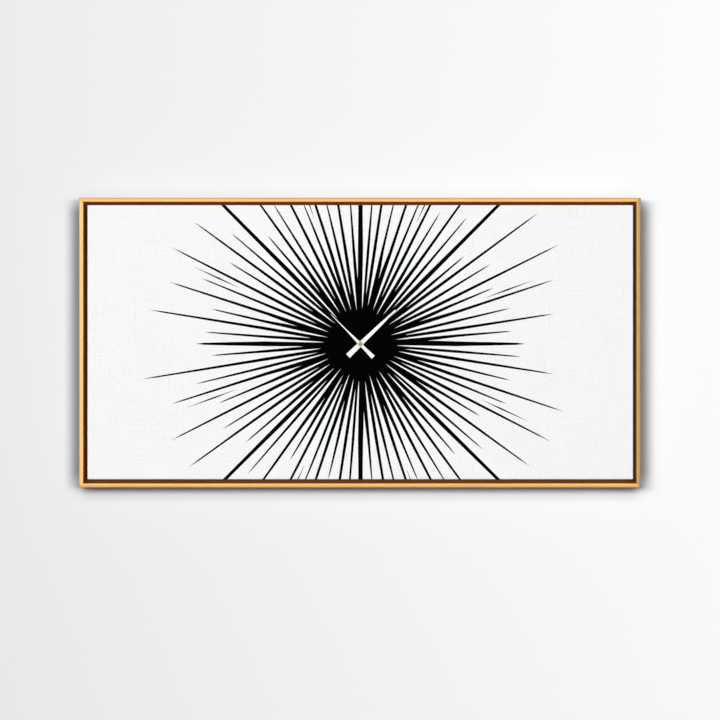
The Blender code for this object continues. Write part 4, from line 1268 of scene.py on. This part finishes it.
def wall_material():
    """Pale wall, seen only from the room's side, that lets light from behind reach the clock's back. Its colour holds
    painted light and shade: lighter towards the right, with painted contact shadows beside and under whatever hangs on
    it.
    """
    mat = bpy.data.materials.new("stage_wall")
    mat.use_nodes = True
    t = mat.node_tree
    bsdf = t.nodes["Principled BSDF"]
    bsdf.inputs["Roughness"].default_value = 0.9
    bsdf.inputs["Specular IOR Level"].default_value = 0.1
    where = t.nodes.new("ShaderNodeTexCoord")
    split = t.nodes.new("ShaderNodeSeparateXYZ")
    across = t.nodes.new("ShaderNodeMapRange")
    tone = t.nodes.new("ShaderNodeValToRGB")
    t.links.new(where.outputs["Object"], split.inputs[0])
    t.links.new(split.outputs["X"], across.inputs["Value"])
    across.inputs["From Min"].default_value = -0.67
    across.inputs["From Max"].default_value = 0.67
    # painted light: the wall's colour brightens from left to right, as if more light fell on its right side
    tone.color_ramp.elements[0].color = rgb(234, 234, 234)
    tone.color_ramp.elements[1].color = rgb(252, 252, 252)
    t.links.new(across.outputs["Result"], tone.inputs["Fac"])
    # painted contact shadow: ambient occlusion darkens the wall's colour beside whatever hangs on it, fainter above and
    # below it
    near = t.nodes.new("ShaderNodeAmbientOcclusion")
    near.samples = 12
    near.inputs["Distance"].default_value = 0.034
    lean = t.nodes.new("ShaderNodeCombineXYZ")
    lean.inputs["Y"].default_value = -math.cos(math.radians(20))
    lean.inputs["Z"].default_value = math.sin(math.radians(20))
    t.links.new(lean.outputs[0], near.inputs["Normal"])
    level = t.nodes.new("ShaderNodeMapRange")
    level.inputs["From Min"].default_value = f_low.z - 0.05
    level.inputs["From Max"].default_value = f_high.z + 0.05
    t.links.new(split.outputs["Z"], level.inputs["Value"])
    band = t.nodes.new("ShaderNodeValToRGB")
    whole = f_high.z - f_low.z + 0.1
    stops = [(0.046, 0.4), (0.075, 1.0), ((whole - 0.075), 1.0), ((whole - 0.047), 0.2)]
    ramp = band.color_ramp.elements
    ramp[0].position, ramp[0].color = stops[0][0] / whole, (0.4, 0.4, 0.4, 1)
    ramp[1].position, ramp[1].color = stops[-1][0] / whole, (0.2, 0.2, 0.2, 1)
    for at, _ in stops[1:-1]:
        ramp.new(at / whole).color = (1, 1, 1, 1)
    t.links.new(level.outputs["Result"], band.inputs["Fac"])
    deepen = t.nodes.new("ShaderNodeMapRange")
    deepen.inputs["From Min"].default_value = 0.7
    deepen.inputs["From Max"].default_value = 0.975
    deepen.inputs["To Min"].default_value = 0.36
    t.links.new(near.outputs["AO"], deepen.inputs["Value"])
    only = t.nodes.new("ShaderNodeMix")
    only.data_type = "RGBA"
    only.inputs[6].default_value = (1, 1, 1, 1)
    t.links.new(band.outputs["Color"], only.inputs[0])
    t.links.new(deepen.outputs["Result"], only.inputs[7])
    # painted shadow: a tighter, darker line of shade just under the bottom edge, from a second ambient occlusion in the
    # wall's colour
    close = t.nodes.new("ShaderNodeAmbientOcclusion")
    close.samples = 12
    close.inputs["Distance"].default_value = 0.018
    t.links.new(lean.outputs[0], close.inputs["Normal"])
    under = t.nodes.new("ShaderNodeMapRange")
    under.inputs["From Min"].default_value = 0.55
    under.inputs["From Max"].default_value = 0.98
    under.inputs["To Min"].default_value = 0.28
    t.links.new(close.outputs["AO"], under.inputs["Value"])
    below = t.nodes.new("ShaderNodeMapRange")
    below.inputs["From Min"].default_value = f_low.z - 0.001
    below.inputs["From Max"].default_value = f_low.z + 0.008
    below.inputs["To Min"].default_value = 1.0
    below.inputs["To Max"].default_value = 0.0
    t.links.new(split.outputs["Z"], below.inputs["Value"])
    line = t.nodes.new("ShaderNodeMix")
    line.data_type = "RGBA"
    line.inputs[6].default_value = (1, 1, 1, 1)
    t.links.new(below.outputs["Result"], line.inputs[0])
    t.links.new(under.outputs["Result"], line.inputs[7])
    both = t.nodes.new("ShaderNodeMix")
    both.data_type = "RGBA"
    both.blend_type = "MULTIPLY"
    both.inputs[0].default_value = 1.0
    t.links.new(only.outputs[2], both.inputs[6])
    t.links.new(line.outputs[2], both.inputs[7])
    shade_mix = t.nodes.new("ShaderNodeMix")
    shade_mix.data_type = "RGBA"
    shade_mix.blend_type = "MULTIPLY"
    shade_mix.inputs[0].default_value = 1.0
    t.links.new(tone.outputs["Color"], shade_mix.inputs[6])
    t.links.new(both.outputs[2], shade_mix.inputs[7])
    t.links.new(shade_mix.outputs[2], bsdf.inputs["Base Color"])
    clear = t.nodes.new("ShaderNodeBsdfTransparent")
    geo = t.nodes.new("ShaderNodeNewGeometry")
    path = t.nodes.new("ShaderNodeLightPath")
    either = t.nodes.new("ShaderNodeMath")
    either.operation = "MAXIMUM"
    t.links.new(geo.outputs["Backfacing"], either.inputs[0])
    t.links.new(path.outputs["Is Shadow Ray"], either.inputs[1])
    mix = t.nodes.new("ShaderNodeMixShader")
    t.links.new(either.outputs[0], mix.inputs[0])
    t.links.new(bsdf.outputs[0], mix.inputs[1])
    t.links.new(clear.outputs[0], mix.inputs[2])
    t.links.new(mix.outputs[0], t.nodes["Material Output"].inputs["Surface"])
    return mat


floor_mat = bpy.data.materials.new("stage_floor")
floor_mat.use_nodes = True
floor_mat.node_tree.nodes["Principled BSDF"].inputs["Base Color"].default_value = rgb(70, 70, 70)
floor_mat.node_tree.nodes["Principled BSDF"].inputs["Emission Color"].default_value = (1, 1, 1, 1)
floor_mat.node_tree.nodes["Principled BSDF"].inputs["Emission Strength"].default_value = 0.62
floor_mat.node_tree.nodes["Principled BSDF"].inputs["Roughness"].default_value = 0.9
wall_y = 0.35 * MM
FLOOR_Z = -1.5
plane("stage_wall", [(-14, wall_y, FLOOR_Z), (14, wall_y, FLOOR_Z), (14, wall_y, 8), (-14, wall_y, 8)], wall_material())
floor = plane("stage_floor", [(-30, -30, FLOOR_Z), (30, -30, FLOOR_Z), (30, 30, FLOOR_Z), (-30, 30, FLOOR_Z)], floor_mat)


def area(name, at, look, size, power, shape="RECTANGLE"):
    data = bpy.data.lights.new(name, "AREA")
    data.shape = shape
    data.size, data.size_y = size
    data.energy = power
    obj = bpy.data.objects.new(name, data)
    scene.collection.objects.link(obj)
    obj.location = at
    obj.rotation_euler = (Vector(look) - Vector(at)).to_track_quat("-Z", "Y").to_euler()
    return obj


floor.visible_diffuse = False
# the rest of the plain pale room, which only other viewpoints see; it adds no light of its own to the clock
room_mat = bpy.data.materials.new("stage_room")
room_mat.use_nodes = True
room = room_mat.node_tree.nodes["Principled BSDF"]
room.inputs["Base Color"].default_value = rgb(120, 120, 120)
room.inputs["Roughness"].default_value = 0.9
room.inputs["Emission Color"].default_value = (1, 1, 1, 1)
room.inputs["Emission Strength"].default_value = 0.6
for name, (xa, ya), (xb, yb) in (("far", (-14, -17), (14, -17)), ("left", (-14, wall_y), (-14, -17)), ("right", (14, -17), (14, wall_y))):
    side = plane(f"stage_room_{name}", [(xa, ya, FLOOR_Z), (xb, yb, FLOOR_Z), (xb, yb, 8), (xa, ya, 8)], room_mat)
    side.visible_diffuse = side.visible_glossy = side.visible_shadow = False
area("key_left", (-3.6, -9.0, 1.35), (0, 0, 0), (5.1, 2.4), 580)
area("key_right", (3.6, -9.0, 0.8), (0, 0, 0), (4.2, 2.4), 366)
area("back_above", (0.6, 2.6, 1.9), (0, 0, 0), (3.0, 1.6), 105)
area("back_left", (-2.4, 2.2, 0.2), (0, 0, 0), (1.4, 1.8), 40)

world = bpy.data.worlds.new("world")
scene.world = world
world.use_nodes = True
world.node_tree.nodes["Background"].inputs["Color"].default_value = (1, 1, 1, 1)
world.node_tree.nodes["Background"].inputs["Strength"].default_value = 0.12
scene.view_settings.view_transform = "Standard"
